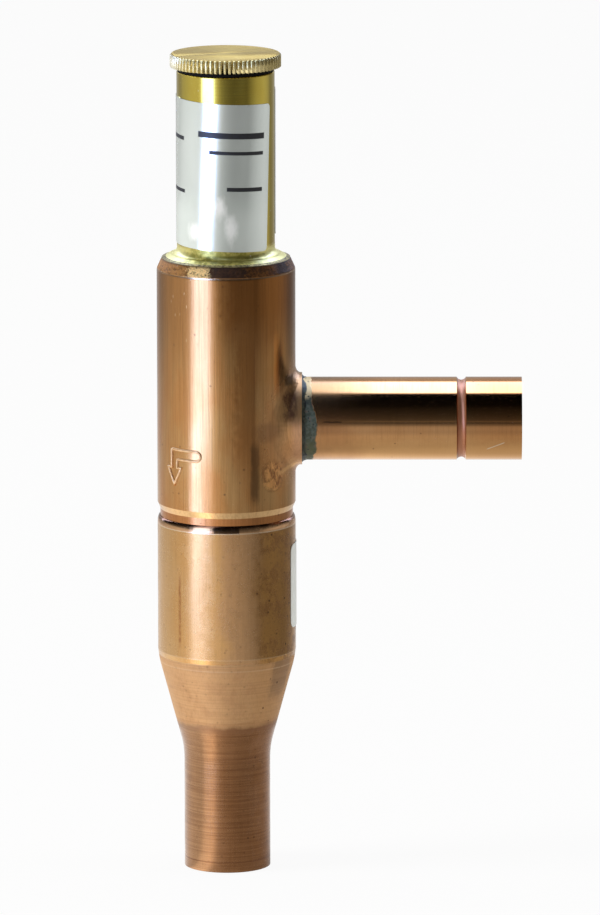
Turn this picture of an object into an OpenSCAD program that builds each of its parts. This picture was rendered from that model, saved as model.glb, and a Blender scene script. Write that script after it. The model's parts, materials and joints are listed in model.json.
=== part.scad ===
// Crankcase pressure regulator: a copper body of two shells with a side branch, and a brass
// spring housing on top. Gas enters at the branch, passes the seat and leaves at the lower end.
// The valve axis is Z, the branch points along +X, and the origin is the mouth of the lower end.

/* [Copper shells] */
// Outside diameter of both shells
body_d = 30; // [28.5:0.5:34]
// Wall of both shells
shell_wall = 1.5; // [1.3:0.1:1.8]
// Outside diameter of the lower tube end
neck_d = 18.7; // [18:0.1:19.6]
// Length of the lower tube end, up to the corner of the cone
neck_len = 26.3; // [20:0.1:40]
// Height of the cone between the tube end and the shell
cone_len = 19.5; // [14:0.5:30]
// Straight height of the lower shell above its cone
belly_len = 32.1; // [29:0.1:45]
// Height of the upper shell above the lip of the lower one
shell_len = 56.6; // [54:0.1:75]
// Radial depth of the groove between the shells
groove_depth = 0.6; // [0.5:0.05:0.9]
// Height of the neck that shows in the groove
groove_band = 1.6; // [1:0.1:3]
// How far the upper shell's spigot and what it clamps reach into the lower shell
joint_depth = 4.2; // [3.4:0.1:6]
// Height of the chamfered shoulder at the top of the upper shell
shoulder_h = 2.4; // [1.4:0.1:4]

/* [Connections] */
// Bore of both solder sockets
socket_d = 16; // [15:0.1:16.4]
// Depth of both solder sockets
socket_depth = 12; // [8:0.5:16]
// Height of the stop at the inner end of a socket
stop_h = 0.6; // [0.3:0.1:1]
// Outside diameter of the branch tube
branch_d = 18; // [17.6:0.1:18.6]
// Distance from the valve axis to the end of the branch tube
branch_reach = 64; // [45:1:90]
// Height of the branch axis above the lip of the lower shell
branch_rise = 21.1; // [18:0.1:26]
// Height of the drawn collar's lip above the shell
collar_h = 1.4; // [1:0.1:4]
// Wall of the drawn collar
collar_wall = 1; // [0.8:0.1:1.4]
// Size of the blend between the collar and the shell
collar_blend = 2.2; // [1.4:0.1:2.6]

/* [Flow arrow] */
// Bearing of the arrow, counted from +X anticlockwise
arrow_angle = 234; // [200:1:245]
// Height of the arrow's top edge below the branch axis
arrow_drop = 4.9; // [3:0.1:8]
// Length of the arrow's bar
arrow_bar = 7.7; // [5:0.1:9]
// Length of the arrow from its top edge to its tip
arrow_h = 7.6; // [6.5:0.1:9]
// Width of the embossed line
arrow_line = 0.4; // [0.3:0.05:0.6]
// Height of the embossed line
arrow_rise = 0.2; // [0.15:0.05:0.4]

/* [Spring housing] */
// Outside diameter of the spring housing
housing_d = 21.2; // [20.4:0.1:22.4]
// Height of the spring housing above the upper shell
housing_rise = 40.8; // [38:0.1:52]
// Bore for the setting screw and the cap
housing_bore = 18; // [17.2:0.1:18.6]
// Length of the plug inside the upper shell
plug_len = 8.5; // [7:0.5:12]
// Thickness of the floor that guides the spindle
floor_t = 2; // [1.5:0.1:3]
// Fillet at the foot of the housing
foot_fillet = 1.4; // [0.8:0.1:1.8]

/* [Cap] */
// Diameter of the cap's knurled head
cap_d = 24; // [22.6:0.1:27]
// Thickness of the cap's head
cap_t = 3.1; // [2:0.1:5]
// Length of the cap's threaded stem
cap_stem_len = 5.4; // [4:0.1:7]
// Wall of the hollow stem
cap_stem_wall = 2.2; // [1.2:0.1:3]
// Number of flutes round the head
flutes = 72; // [48:1:96]
// Depth of a flute
flute_depth = 0.4; // [0.2:0.05:0.6]
// Thickness of the gasket under the head
gasket_t = 0.6; // [0.4:0.1:1.2]

/* [Setting screw] */
// Length of the setting screw
screw_len = 8; // [7:0.1:10]
// Hexagon socket, across its flats
hex_af = 8; // [6:0.5:9]
// Depth of the hexagon socket
hex_depth = 6; // [4:0.1:6.4]
// Travel of the setting screw down to its stop
setting_travel = 13; // [8:0.5:14]
// Thickness of the spring plates' flanges
spring_plate_t = 1.5; // [1:0.1:2.2]
// Height of the spring plates' centring collars
centring_h = 2.5; // [1.5:0.1:3]

/* [Main spring] */
// Wire diameter of the main spring
spring_wire = 1.7; // [1.4:0.05:1.7]
// Mean diameter of the main spring
spring_d = 13.6; // [12.8:0.1:14]
// Number of turns of the main spring
spring_turns = 7; // [5:0.5:7]

/* [Valve] */
// Diameter of the seat's orifice
orifice_d = 16; // [13:0.5:17]
// Width of the seat's lip
lip_w = 1.2; // [0.8:0.1:1.4]
// Height of the seat's lip below its flange
lip_h = 2; // [1:0.1:3]
// Height of the seat ring inside the spigot
seat_h = 6; // [4:0.5:8]
// Lift of the valve plate from open to shut
valve_travel = 4; // [2:0.5:4.5]
// Thickness of the valve plate
plate_t = 2.5; // [2:0.1:4]
// Height of the valve plate's hub above the plate
hub_h = 3; // [1.5:0.1:4]
// Thickness of the seal ring let into the valve plate
seal_t = 1.2; // [0.8:0.1:1.4]
// Diameter of the spindle
spindle_d = 3.8; // [3.4:0.1:4.2]
// Diameter of the spindle's ends, beyond its shoulders
spindle_end_d = 3; // [2.4:0.1:3.2]
// Nuts on the spindle, across their flats
nut_af = 7; // [6.4:0.1:8]
// Thickness of the nuts on the spindle
nut_t = 2; // [1.5:0.1:2.6]

/* [Bellows] */
// Outside diameter of the bellows
bellows_d = 19; // [17.5:0.1:20.5]
// Inside diameter of the bellows' folds
bellows_bore = 13; // [12:0.1:14]
// Number of folds
bellows_folds = 8; // [6:1:9]
// Height of one fold
fold_pitch = 2.6; // [2.2:0.1:2.8]
// Wall of the bellows
bellows_wall = 0.25; // [0.2:0.05:0.35]
// Height of the plain cuff at each end
cuff_h = 3; // [2:0.1:3.4]

/* [Damper] */
// Bore of the damper cylinder
damper_bore = 12; // [10:0.5:13]
// Wall of the damper cylinder
damper_wall = 1; // [0.8:0.1:1.4]
// Thickness of the damper piston
piston_t = 3; // [2:0.1:4]
// Width of the rim that holds the cylinder to its bracket
damper_rim = 3; // [2.6:0.1:3.2]
// Sheet thickness of the bracket, the cylinder's rim and its cover
sheet_t = 1; // [0.8:0.1:1.2]
// Width of a leg of the bracket
leg_w = 5; // [3:0.5:7]

/* [Labels] */
// Height of the label on the spring housing
housing_label_h = 31.6; // [24:0.2:33]
// Height of the label on the lower shell
body_label_h = 18.4; // [12:0.2:22]
// Thickness of both labels
label_t = 0.15; // [0.1:0.05:0.3]
// Gap between the housing's foot and its label
housing_label_gap = 0.4; // [0.2:0.1:6]
// Bearing at which the label on the spring housing starts
housing_label_start_angle = -3; // [-180:1:180]
// Angle that it covers
housing_label_angle = 335; // [180:1:350]
// Gap between the cone and the label on the lower shell
body_label_gap = 5.3; // [1:0.1:8]
// Bearing at which the label on the lower shell starts
body_label_start_angle = -23; // [-60:1:60]
// Angle that it covers
body_label_angle = 96; // [60:1:140]

/* [Hidden] */

$fn = 96;
eps = 0.01;
// Radial clearance of pieces that slide or turn in each other
run_gap = 0.05;
// Radial clearance that solder or braze fills
solder_gap = 0.03;
// Clearance at the ends of a travel
end_gap = 0.5;
// Points of a rounded corner, and of a slight one
arc_n = 12;
bend_n = 4;

copper = "#b5734a";
brass = "#c8a64b";
steel = "#9aa0a6";
bronze = "#a8773c";

body_r = body_d / 2;
shell_r = body_r - shell_wall;
spigot_r = body_r - groove_depth;
socket_r = socket_d / 2;
branch_r = branch_d / 2;
bore_r = housing_bore / 2;
housing_r = housing_d / 2;
spindle_r = spindle_d / 2;
spindle_end_r = spindle_end_d / 2;
spindle_bore_r = spindle_r + solder_gap;
end_bore_r = spindle_end_r + solder_gap;
orifice_r = orifice_d / 2;

// Heights of the copper shells
cone_step = 0.35;
cone_band = 2.5;
cone_top_z = neck_len + cone_len;
lip_z = cone_top_z + belly_len;
rim_z = lip_z + shell_len;
branch_z = lip_z + branch_rise;
collar_reach = body_r + collar_h;
joint_floor_z = lip_z - joint_depth;
chamfer_h = 1.4;
neck_top_z = lip_z + groove_band;
lip_land = 0.1;
rim_flat = 0.4;
shoulder_bend = 0.4;
lip_round_h = 1.6;

// Heights of the stack that the spigot clamps in the joint
seat_flange_z = joint_floor_z + sheet_t;
spigot_z = seat_flange_z + sheet_t;
seat_lip_z = joint_floor_z - lip_h;

// Heights of the spring housing and what it holds
plug_r = shell_r - solder_gap;
plug_z = rim_z - plug_len;
floor_z = plug_z + floor_t;
mouth_z = rim_z + housing_rise;
cap_z = mouth_z + gasket_t;
cap_top_z = cap_z + cap_t;
stem_end_z = cap_z - cap_stem_len;
screw_top_z = stem_end_z - end_gap;
screw_z = screw_top_z - screw_len;
upper_plate_z = screw_z - spring_plate_t;
lower_plate_top_z = floor_z + spring_plate_t;
stop_gap = 0.2;
screw_stop_z = screw_z - setting_travel - stop_gap;
stop_step = 0.4;
spring_bore_r = bore_r - stop_step;
spring_plate_gap = 0.4;
spring_plate_r = spring_bore_r - spring_plate_gap;
centring_gap = 0.25;
centring_r = (spring_d - spring_wire) / 2 - centring_gap;

// Heights of the bellows
cuff_r = bellows_bore / 2;
fold_a = fold_pitch / 4;
cuff_gap = 0.05;
bellows_spigot_r = cuff_r - bellows_wall / 2 - solder_gap;
folds_top_z = plug_z - cuff_h;
folds_z = folds_top_z - bellows_folds * fold_pitch;
end_cap_z = folds_z - cuff_h;
end_cap_t = 1.5;

// Heights of the valve, which rests open
seal_cover = 0.2;
seal_r_in = orifice_r - 3 * seal_cover;
seal_r_out = orifice_r + lip_w + seal_cover;
plate_rim = 0.6;
plate_r = seal_r_out + plate_rim;
plate_top_z = seat_lip_z - valve_travel;
plate_z = plate_top_z - plate_t;
plate_nut_z = plate_z - nut_t;
hub_top_z = plate_top_z + hub_h;
top_nut_z = lower_plate_top_z + centring_h;

// Heights of the damper
damper_r = damper_bore / 2;
damper_out_r = damper_r + damper_wall;
damper_rim_r = damper_out_r + damper_rim;
cover_top_z = plate_nut_z - end_gap;
cover_z = cover_top_z - sheet_t;
damper_rim_z = cover_z - sheet_t;
bracket_arm_z = damper_rim_z - sheet_t;
piston_z = cover_z - end_gap - valve_travel - piston_t;
damper_floor_z = piston_z - 2 * end_gap;
bracket_r = shell_r - run_gap;
legs = 3;
rivet_r = 0.8;
rivet_pcd_r = damper_out_r + damper_rim / 2;

// Points of the quadratic curve that leaves p towards b and reaches q from b
function curve(p, b, q, n) =
    [for (i = [0:n]) let (s = i / n) (1 - s) * (1 - s) * p + 2 * s * (1 - s) * b + s * s * q];

// Points of an arc about a centre, from one angle to another, with its own half axes
function arc(c, rx, ry, from, to, n = arc_n) =
    [for (i = [0:n]) let (a = from + (to - from) * i / n) [c[0] + rx * cos(a), c[1] + ry * sin(a)]];

// Points that round the corner b between a and c, starting and ending t away from it
function rounded(a, b, c, t, n = arc_n) =
    curve(b + t * (a - b) / norm(a - b), b, b + t * (c - b) / norm(c - b), n);

// A ring about Z, from one height to another
module ring(r_out, r_in, z, top) {
    translate([0, 0, z])
        difference() {
            cylinder(r = r_out, h = top - z);
            translate([0, 0, -1]) cylinder(r = r_in, h = top - z + 2);
        }
}

// The frame of the branch: its Z is the branch axis, counted from the valve axis
module on_branch() {
    translate([0, 0, branch_z]) rotate([0, 90, 0]) children();
}

// Upper shell: a drawn copper tube with a chamfered shoulder, a pulled collar and a spigot
module upper_shell_outline() {
    side = [[body_r, neck_top_z + chamfer_h], [body_r, rim_z - shoulder_h],
        [shell_r + rim_flat, rim_z], [0, rim_z]];
    polygon(concat(
        [[0, spigot_z], [spigot_r, spigot_z], [spigot_r, neck_top_z], side[0]],
        rounded(side[0], side[1], side[2], shoulder_bend, bend_n),
        rounded(side[1], side[2], side[3], rim_flat / 2, bend_n),
        [side[3]]));
}

collar_bore_r = branch_r + solder_gap;
collar_r = collar_bore_r + collar_wall;
blend_turns = 60;
blend_steps = 6;
sink = 0.06;

// Height of the shell's surface above the valve axis, at radius r and angle a about the branch
function shell_x(r, a) = sqrt(body_r * body_r - pow(r * cos(a), 2));

// Section of the collar's blend at angle a, as [radius, reach] points round a closed loop
function blend_section(a) =
    let (r0 = collar_r + collar_blend,
         x0 = shell_x(r0, a),
         slope = r0 * pow(cos(a), 2) / x0,
         x1 = x0 + collar_blend * slope,
         rise = min(collar_blend, collar_reach - x1 - 0.1),
         root_r = collar_r - collar_wall / 2,
         root_x = x0 - shell_wall / 2)
    concat(
        curve([r0, x0 - sink], [collar_r, x1], [collar_r - sink, x1 + rise], blend_steps),
        [[root_r, x1 + rise], [root_r, root_x], [r0, root_x]]);

module collar_blend_ring() {
    sections = [for (k = [0:blend_turns - 1]) blend_section(k * 360 / blend_turns)];
    m = len(sections[0]);
    points = [for (k = [0:blend_turns - 1]) let (a = k * 360 / blend_turns)
        each [for (p = sections[k]) [p[1], p[0] * cos(a), p[0] * sin(a)]]];
    faces = [for (k = [0:blend_turns - 1], i = [0:m - 1])
        let (n = (k + 1) % blend_turns, j = (i + 1) % m)
        each [[k * m + i, n * m + j, n * m + i], [k * m + i, k * m + j, n * m + j]]];
    translate([0, 0, branch_z]) polyhedron(points = points, faces = faces);
}

// Flow arrow: a raised outline that comes from the branch and turns down the body
module flow_arrow() {
    bar_h = 2.1;
    leg_r = 0.85;
    head_r = 1.95;
    head_h = 3.6;
    bar_arc_n = 8;
    left = -arrow_bar / 2;
    leg_x = left + leg_r;
    head_z = -arrow_h + head_h;
    end_c = arrow_bar / 2 - bar_h / 2;
    points = concat(
        [[leg_x + leg_r, -bar_h], [leg_x + leg_r, head_z], [leg_x + head_r, head_z],
         [leg_x, -arrow_h], [leg_x - head_r, head_z], [left, head_z], [left, 0]],
        arc([end_c, -bar_h / 2], bar_h / 2, bar_h / 2, 90, -90, bar_arc_n));
    intersection() {
        cylinder(r = body_r + arrow_rise, h = rim_z);
        translate([0, 0, branch_z - arrow_drop]) rotate([90, 0, arrow_angle + 90])
            translate([0, 0, shell_r - shell_wall]) linear_extrude(3 * shell_wall)
                difference() {
                    offset(delta = arrow_line / 2) polygon(points);
                    offset(delta = -arrow_line / 2) polygon(points);
                }
    }
}

module upper_shell() {
    color(copper)
    difference() {
        union() {
            rotate_extrude() upper_shell_outline();
            flow_arrow();
            on_branch() cylinder(r = collar_r, h = collar_reach);
            collar_blend_ring();
        }
        translate([0, 0, spigot_z - 1]) cylinder(r = shell_r, h = rim_z - spigot_z + 2);
        on_branch() cylinder(r = collar_bore_r, h = collar_reach + 1);
    }
}

// Lower shell: a drawn cup whose end is spun down to a tube with a solder socket
module lower_shell() {
    outer_cone = [[neck_d / 2, 0], [neck_d / 2, neck_len], [body_r - cone_step, cone_top_z],
        [body_r, cone_top_z + cone_band], [body_r, lip_z]];
    stop_r = socket_r - stop_h;
    inner_cone = [[stop_r, socket_depth], [stop_r, neck_len], [shell_r, cone_top_z + cone_band / 2],
        [shell_r, joint_floor_z]];
    lip_in_r = spigot_r + solder_gap;
    lip_out_r = lip_in_r + lip_land;
    neck_bend = 2.6;
    cone_bend = 1;
    floor_bend = 2;
    color(copper)
    rotate_extrude()
        polygon(concat(
            [[socket_r, 0], [neck_d / 2, 0]],
            rounded(outer_cone[0], outer_cone[1], outer_cone[2], neck_bend),
            rounded(outer_cone[1], outer_cone[2], outer_cone[3], cone_bend),
            [outer_cone[3]],
            arc([lip_out_r, lip_z - lip_round_h], body_r - lip_out_r, lip_round_h, 0, 90),
            [[lip_in_r, lip_z], [lip_in_r, joint_floor_z], [shell_r, joint_floor_z]],
            rounded(inner_cone[3], inner_cone[2], inner_cone[1], floor_bend),
            rounded(inner_cone[2], inner_cone[1], inner_cone[0], neck_bend),
            [[stop_r, socket_depth], [socket_r, socket_depth]]));
}

// Branch tube: its rolled bead is the stop of the solder socket
module branch_tube() {
    bead_r = 1.1;
    bead_groove = 0.65;
    bead_x = branch_reach - socket_depth - bead_r;
    groove_c = branch_r + bead_r - bead_groove;
    groove_a = acos((groove_c - branch_r) / bead_r);
    bead_c = socket_r + bead_r - stop_h;
    bead_a = acos((bead_c - socket_r) / bead_r);
    end_x = shell_r + 0.1;
    color(copper)
    on_branch()
        rotate_extrude()
            polygon(concat(
                [[socket_r, end_x], [branch_r, end_x]],
                arc([groove_c, bead_x], bead_r, bead_r, 180 + groove_a, 180 - groove_a),
                [[branch_r, branch_reach], [socket_r, branch_reach]],
                arc([bead_c, bead_x], bead_r, bead_r, 180 - bead_a, 180 + bead_a)));
}

// Spring housing: one turned piece of brass, brazed into the upper shell by its plug
braze_w = 0.4;
braze_depth = 0.15;
foot_step = 0.35;
foot_land = 0.9;
land_r = plug_r - braze_w;
land_top_z = rim_z + foot_land;
braze_z = rim_z - braze_depth;

module spring_housing() {
    foot_r = housing_r + foot_fillet;
    edge = 0.3;
    outline = concat(
        [[0, plug_z - cuff_h], [bellows_spigot_r, plug_z - cuff_h], [bellows_spigot_r, plug_z],
         [plug_r, plug_z], [plug_r, braze_z], [land_r, braze_z], [land_r, rim_z + foot_step]],
        arc([foot_r, land_top_z + foot_fillet], foot_fillet, foot_fillet, 270, 180),
        [[housing_r, mouth_z - edge], [housing_r - edge, mouth_z], [0, mouth_z]]);
    color(brass)
    difference() {
        rotate_extrude() polygon(outline);
        translate([0, 0, floor_z]) cylinder(r = spring_bore_r, h = mouth_z - floor_z + 1);
        translate([0, 0, screw_stop_z]) cylinder(r = bore_r, h = mouth_z - screw_stop_z + 1);
        translate([0, 0, folds_top_z - 1])
            cylinder(r = spindle_r + run_gap, h = floor_z - folds_top_z + 2);
    }
}

// Braze metal that shows between the copper rim and the brass plug
module housing_braze_ring() {
    in_r = land_r + eps;
    out_r = shell_r + rim_flat;
    low_z = rim_z + eps;
    color("#d8cfb0")
    rotate_extrude()
        polygon(concat(
            [[in_r, braze_z], [shell_r - eps, braze_z], [shell_r - eps, low_z]],
            curve([out_r, low_z], [in_r + rim_flat, low_z], [in_r, rim_z + foot_step], 6)));
}

// Braze metal at the lip of the collar, round the branch tube
module branch_braze_ring() {
    size = 0.7;
    n = 6;
    color("#8d9484")
    on_branch()
        rotate_extrude()
            polygon(concat(
                [[branch_r + eps, collar_reach], [branch_r + size, collar_reach]],
                [for (i = [1:n]) let (a = 90 * i / n)
                    [branch_r + eps + size * (1 - sin(a)), collar_reach + size * (1 - cos(a))]]));
}

// Seat ring: its flange is clamped by the spigot, and its lip faces down
module seat_ring() {
    lip_out_r = orifice_r + lip_w;
    flange_r = spigot_r;
    seat_top_z = spigot_z + seat_h;
    lead_in = 1.5;
    lip_taper = 0.6;
    color(brass)
    rotate_extrude()
        polygon([[orifice_r, seat_lip_z], [lip_out_r, seat_lip_z],
            [lip_out_r + lip_taper, seat_flange_z], [flange_r, seat_flange_z], [flange_r, spigot_z],
            [plug_r, spigot_z], [plug_r, seat_top_z], [orifice_r + lead_in, seat_top_z],
            [orifice_r, seat_top_z - lead_in]]);
}

// Bellows: folds of equal pitch between two plain cuffs
function fold_side(off) = concat(
    [[cuff_r + off, plug_z - cuff_gap], [cuff_r + off, folds_top_z]],
    arc([cuff_r + fold_a, folds_top_z], fold_a - off, fold_a - off, 180, 270, 4),
    [for (k = [0:bellows_folds - 1]) each concat(
        arc([bellows_d / 2 - fold_a, folds_top_z - (k + 0.5) * fold_pitch],
            fold_a + off, fold_a + off, 90, -90, 8),
        k < bellows_folds - 1
            ? arc([cuff_r + fold_a, folds_top_z - (k + 1) * fold_pitch],
                fold_a - off, fold_a - off, 90, 270, 8)
            : arc([cuff_r + fold_a, folds_z], fold_a - off, fold_a - off, 90, 180, 4))],
    [[cuff_r + off, end_cap_z + cuff_gap]]);

function reversed(list) = [for (i = [len(list) - 1:-1:0]) list[i]];

module bellows() {
    color(bronze)
    rotate_extrude()
        polygon(concat(fold_side(bellows_wall / 2), reversed(fold_side(-bellows_wall / 2))));
}

// Main spring: a helix whose last turn at each end lies flat
module main_spring() {
    seat_gap = 0.02;
    low = lower_plate_top_z + spring_wire / 2 + seat_gap;
    high = upper_plate_z - spring_wire / 2 - seat_gap;
    steps = 24;
    sides = 10;
    count = round(spring_turns * steps);
    closed = spring_wire + seat_gap;
    rise = (high - low - 2 * closed) / (spring_turns - 2);
    // Height of the wire's centre after t turns
    function wire_z(t) =
        t < 1 ? low + t * closed
        : t > spring_turns - 1 ? high - (spring_turns - t) * closed
        : low + closed + (t - 1) * rise;
    points = [for (k = [0:count]) let (t = k * spring_turns / count, a = 360 * t)
        each [for (s = [0:sides - 1]) let (b = 360 * s / sides,
            r = spring_d / 2 + spring_wire / 2 * cos(b))
            [r * cos(a), r * sin(a), wire_z(t) + spring_wire / 2 * sin(b)]]];
    side_faces = [for (k = [0:count - 1], s = [0:sides - 1]) let (n = (s + 1) % sides)
        each [[k * sides + s, (k + 1) * sides + n, k * sides + n],
              [k * sides + s, (k + 1) * sides + s, (k + 1) * sides + n]]];
    color(steel)
    polyhedron(
        points = points,
        faces = concat(side_faces,
            [[for (s = [0:sides - 1]) s]],
            [[for (s = [sides - 1:-1:0]) count * sides + s]]));
}

// Spindle: one turned rod from the lower spring plate down to the damper piston. Its shoulders
// carry the lower spring plate and the valve plate, and its foot is riveted over the piston.
module spindle() {
    thread_end = 0.8;
    top_z = top_nut_z + nut_t + thread_end;
    edge = 0.3;
    foot_h = 0.4;
    color(steel)
    rotate_extrude()
        polygon([[0, piston_z - foot_h], [spindle_r, piston_z - foot_h], [spindle_r, piston_z],
            [spindle_end_r, piston_z], [spindle_end_r, hub_top_z], [spindle_r, hub_top_z],
            [spindle_r, floor_z], [spindle_end_r, floor_z], [spindle_end_r, top_z - edge],
            [spindle_end_r - edge, top_z], [0, top_z]]);
}

// Spring plate with a centring collar, bored for what carries it
module spring_plate(z, hole_r, up) {
    translate([0, 0, z])
        mirror([0, 0, up ? 0 : 1])
            difference() {
                union() {
                    cylinder(r = spring_plate_r, h = spring_plate_t);
                    cylinder(r = centring_r, h = spring_plate_t + centring_h);
                }
                translate([0, 0, -1]) cylinder(r = hole_r, h = spring_plate_t + centring_h + 2);
            }
}

module lower_spring_plate() {
    color(steel) spring_plate(floor_z, end_bore_r, true);
}

screw_pilot_r = 3;

module upper_spring_plate() {
    color(steel) spring_plate(screw_z, screw_pilot_r + run_gap, false);
}

// Hexagon nut on the spindle
module spindle_nut(z) {
    color(steel)
    translate([0, 0, z])
        difference() {
            cylinder(r = nut_af / 2 / cos(30), h = nut_t, $fn = 6);
            translate([0, 0, -1]) cylinder(r = end_bore_r, h = nut_t + 2);
        }
}

module spindle_top_nut() {
    spindle_nut(top_nut_z);
}

module valve_plate_nut() {
    spindle_nut(plate_nut_z);
}

// End cap that closes the bellows and is soldered to the spindle
module bellows_end_cap() {
    rim = 1.5;
    color(brass)
    difference() {
        union() {
            translate([0, 0, end_cap_z - end_cap_t])
                cylinder(r = cuff_r + rim, h = end_cap_t);
            translate([0, 0, end_cap_z - eps]) cylinder(r = bellows_spigot_r, h = cuff_h);
        }
        translate([0, 0, end_cap_z - end_cap_t - 1])
            cylinder(r = spindle_bore_r, h = cuff_h + end_cap_t + 2);
    }
}

// Valve plate: a turned disc with a hub and a groove for its seal
module valve_plate() {
    hub_wall = 1.5;
    hub_r = spindle_r + hub_wall;
    edge = 0.8;
    color(brass)
    difference() {
        rotate_extrude()
            polygon([[end_bore_r, plate_z], [plate_r - edge, plate_z], [plate_r, plate_z + edge],
                [plate_r, plate_top_z], [hub_r + edge, plate_top_z], [hub_r, plate_top_z + edge],
                [hub_r, hub_top_z], [end_bore_r, hub_top_z]]);
        ring(seal_r_out, seal_r_in, plate_top_z - seal_t, plate_top_z + 1);
    }
}

module valve_seal() {
    color("#ece9df")
    ring(seal_r_out - solder_gap, seal_r_in + solder_gap, plate_top_z - seal_t, plate_top_z);
}

// Damper piston, with bleed holes
module damper_piston() {
    bleeds = 4;
    bleed_r = 0.6;
    color(brass)
    difference() {
        translate([0, 0, piston_z]) cylinder(r = damper_r - run_gap, h = piston_t);
        translate([0, 0, piston_z - 1]) cylinder(r = end_bore_r, h = piston_t + 2);
        for (k = [0:bleeds - 1])
            rotate(k * 360 / bleeds) translate([(spindle_r + damper_r) / 2, 0, piston_z - 1])
                cylinder(r = bleed_r, h = piston_t + 2);
    }
}

// The rivet holes' places round the damper's rim
module at_rivets() {
    for (k = [0:legs - 1]) rotate(k * 360 / legs) translate([rivet_pcd_r, 0, 0]) children();
}

module damper_cylinder() {
    floor_h = 1.2;
    bleed_r = 0.7;
    color(brass)
    difference() {
        union() {
            translate([0, 0, damper_floor_z - floor_h])
                cylinder(r = damper_out_r, h = cover_z - damper_floor_z + floor_h);
            translate([0, 0, damper_rim_z]) cylinder(r = damper_rim_r, h = sheet_t);
        }
        translate([0, 0, damper_floor_z]) cylinder(r = damper_r, h = cover_z);
        translate([0, 0, damper_floor_z - floor_h - 1]) cylinder(r = bleed_r, h = floor_h + 2);
        at_rivets() translate([0, 0, damper_rim_z - 1])
            cylinder(r = rivet_r + solder_gap, h = sheet_t + 2);
    }
}

module damper_cover() {
    color(steel)
    difference() {
        translate([0, 0, cover_z]) cylinder(r = damper_rim_r, h = sheet_t);
        translate([0, 0, cover_z - 1]) cylinder(r = spindle_end_r + run_gap, h = sheet_t + 2);
        at_rivets() translate([0, 0, cover_z - 1])
            cylinder(r = rivet_r + solder_gap, h = sheet_t + 2);
    }
}

// Rivets through the cover, the cylinder's rim and the bracket
module damper_rivets() {
    head_h = 0.45;
    head_r = rivet_r + 0.5;
    color(steel)
    at_rivets() {
        translate([0, 0, bracket_arm_z - head_h]) cylinder(r = head_r, h = head_h);
        translate([0, 0, bracket_arm_z - eps])
            cylinder(r = rivet_r, h = cover_top_z - bracket_arm_z + 2 * eps);
        translate([0, 0, cover_top_z]) cylinder(r = head_r, h = head_h);
    }
}

// Bracket: a flange clamped in the joint, with three legs down to a ring that holds the damper
module damper_bracket() {
    arm_in_r = damper_out_r + run_gap;
    flange_w = 1.4;
    arm_overlap = 0.5;
    color(steel)
    difference() {
        union() {
            ring(spigot_r, shell_r - flange_w, joint_floor_z, seat_flange_z);
            ring(damper_rim_r, arm_in_r, bracket_arm_z, damper_rim_z);
            for (k = [0:legs - 1]) rotate((k + 0.5) * 360 / legs)
                intersection() {
                    translate([damper_rim_r - arm_overlap, -leg_w / 2, bracket_arm_z])
                        cube([body_r, leg_w, seat_flange_z - bracket_arm_z]);
                    union() {
                        ring(bracket_r, bracket_r - sheet_t, bracket_arm_z, seat_flange_z);
                        ring(bracket_r - eps, arm_in_r, bracket_arm_z, damper_rim_z);
                    }
                }
        }
        at_rivets() translate([0, 0, bracket_arm_z - 1])
            cylinder(r = rivet_r + solder_gap, h = sheet_t + 2);
    }
}

// Setting screw: a threaded plug with a hexagon socket and a pilot for the upper spring plate
module setting_screw() {
    r = bore_r - run_gap;
    edge = 0.6;
    socket_edge = 0.5;
    hex_r = hex_af / 2 / cos(30);
    lead_in = 0.2;
    pilot_h = spring_plate_t;
    color(brass)
    difference() {
        union() {
            rotate_extrude()
                polygon([[0, screw_z], [r - edge, screw_z], [r, screw_z + edge],
                    [r, screw_top_z - edge], [r - edge, screw_top_z], [0, screw_top_z]]);
            translate([0, 0, screw_z - pilot_h]) cylinder(r = screw_pilot_r, h = pilot_h + 1);
        }
        translate([0, 0, screw_top_z - hex_depth]) cylinder(r = hex_r, h = hex_depth + 1, $fn = 6);
        translate([0, 0, screw_top_z - socket_edge])
            cylinder(r1 = hex_r - lead_in, r2 = hex_r + socket_edge, h = socket_edge + eps);
    }
}

// Gasket between the cap's head and the mouth of the housing
module cap_gasket() {
    inset = 0.1;
    color("#1c1c1c")
    ring(housing_r - inset, bore_r + inset, mouth_z, cap_z);
}

// Cap: a fluted head with a hollow threaded stem
module protective_cap() {
    head_r = cap_d / 2;
    root_r = head_r - flute_depth;
    step = 360 / flutes;
    // Where the flats of a crest and of a root end, as shares of a step
    crest = 0.18 * step;
    root = 0.36 * step;
    edge = 0.35;
    stem_r = bore_r - run_gap;
    stem_edge = 0.5;
    relief_r = stem_r - stem_edge;
    relief_h = 0.6;
    outline = [for (k = [0:flutes - 1]) let (a = k * step) each [
        [head_r * cos(a - crest), head_r * sin(a - crest)],
        [head_r * cos(a + crest), head_r * sin(a + crest)],
        [root_r * cos(a + root), root_r * sin(a + root)],
        [root_r * cos(a + step - root), root_r * sin(a + step - root)]]];
    color(brass)
    difference() {
        union() {
            intersection() {
                translate([0, 0, cap_z]) linear_extrude(cap_t) polygon(outline);
                rotate_extrude()
                    polygon([[0, cap_z], [head_r - edge, cap_z], [head_r + eps, cap_z + edge],
                        [head_r + eps, cap_top_z - edge], [head_r - edge, cap_top_z],
                        [0, cap_top_z]]);
            }
            rotate_extrude()
                polygon([[0, stem_end_z], [relief_r, stem_end_z], [stem_r, stem_end_z + stem_edge],
                    [stem_r, cap_z - relief_h - stem_edge], [relief_r, cap_z - relief_h],
                    [relief_r, cap_z + cap_t / 2], [0, cap_z + cap_t / 2]]);
        }
        translate([0, 0, stem_end_z - 1])
            cylinder(r = stem_r - cap_stem_wall, h = cap_stem_len + 1);
    }
}

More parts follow.
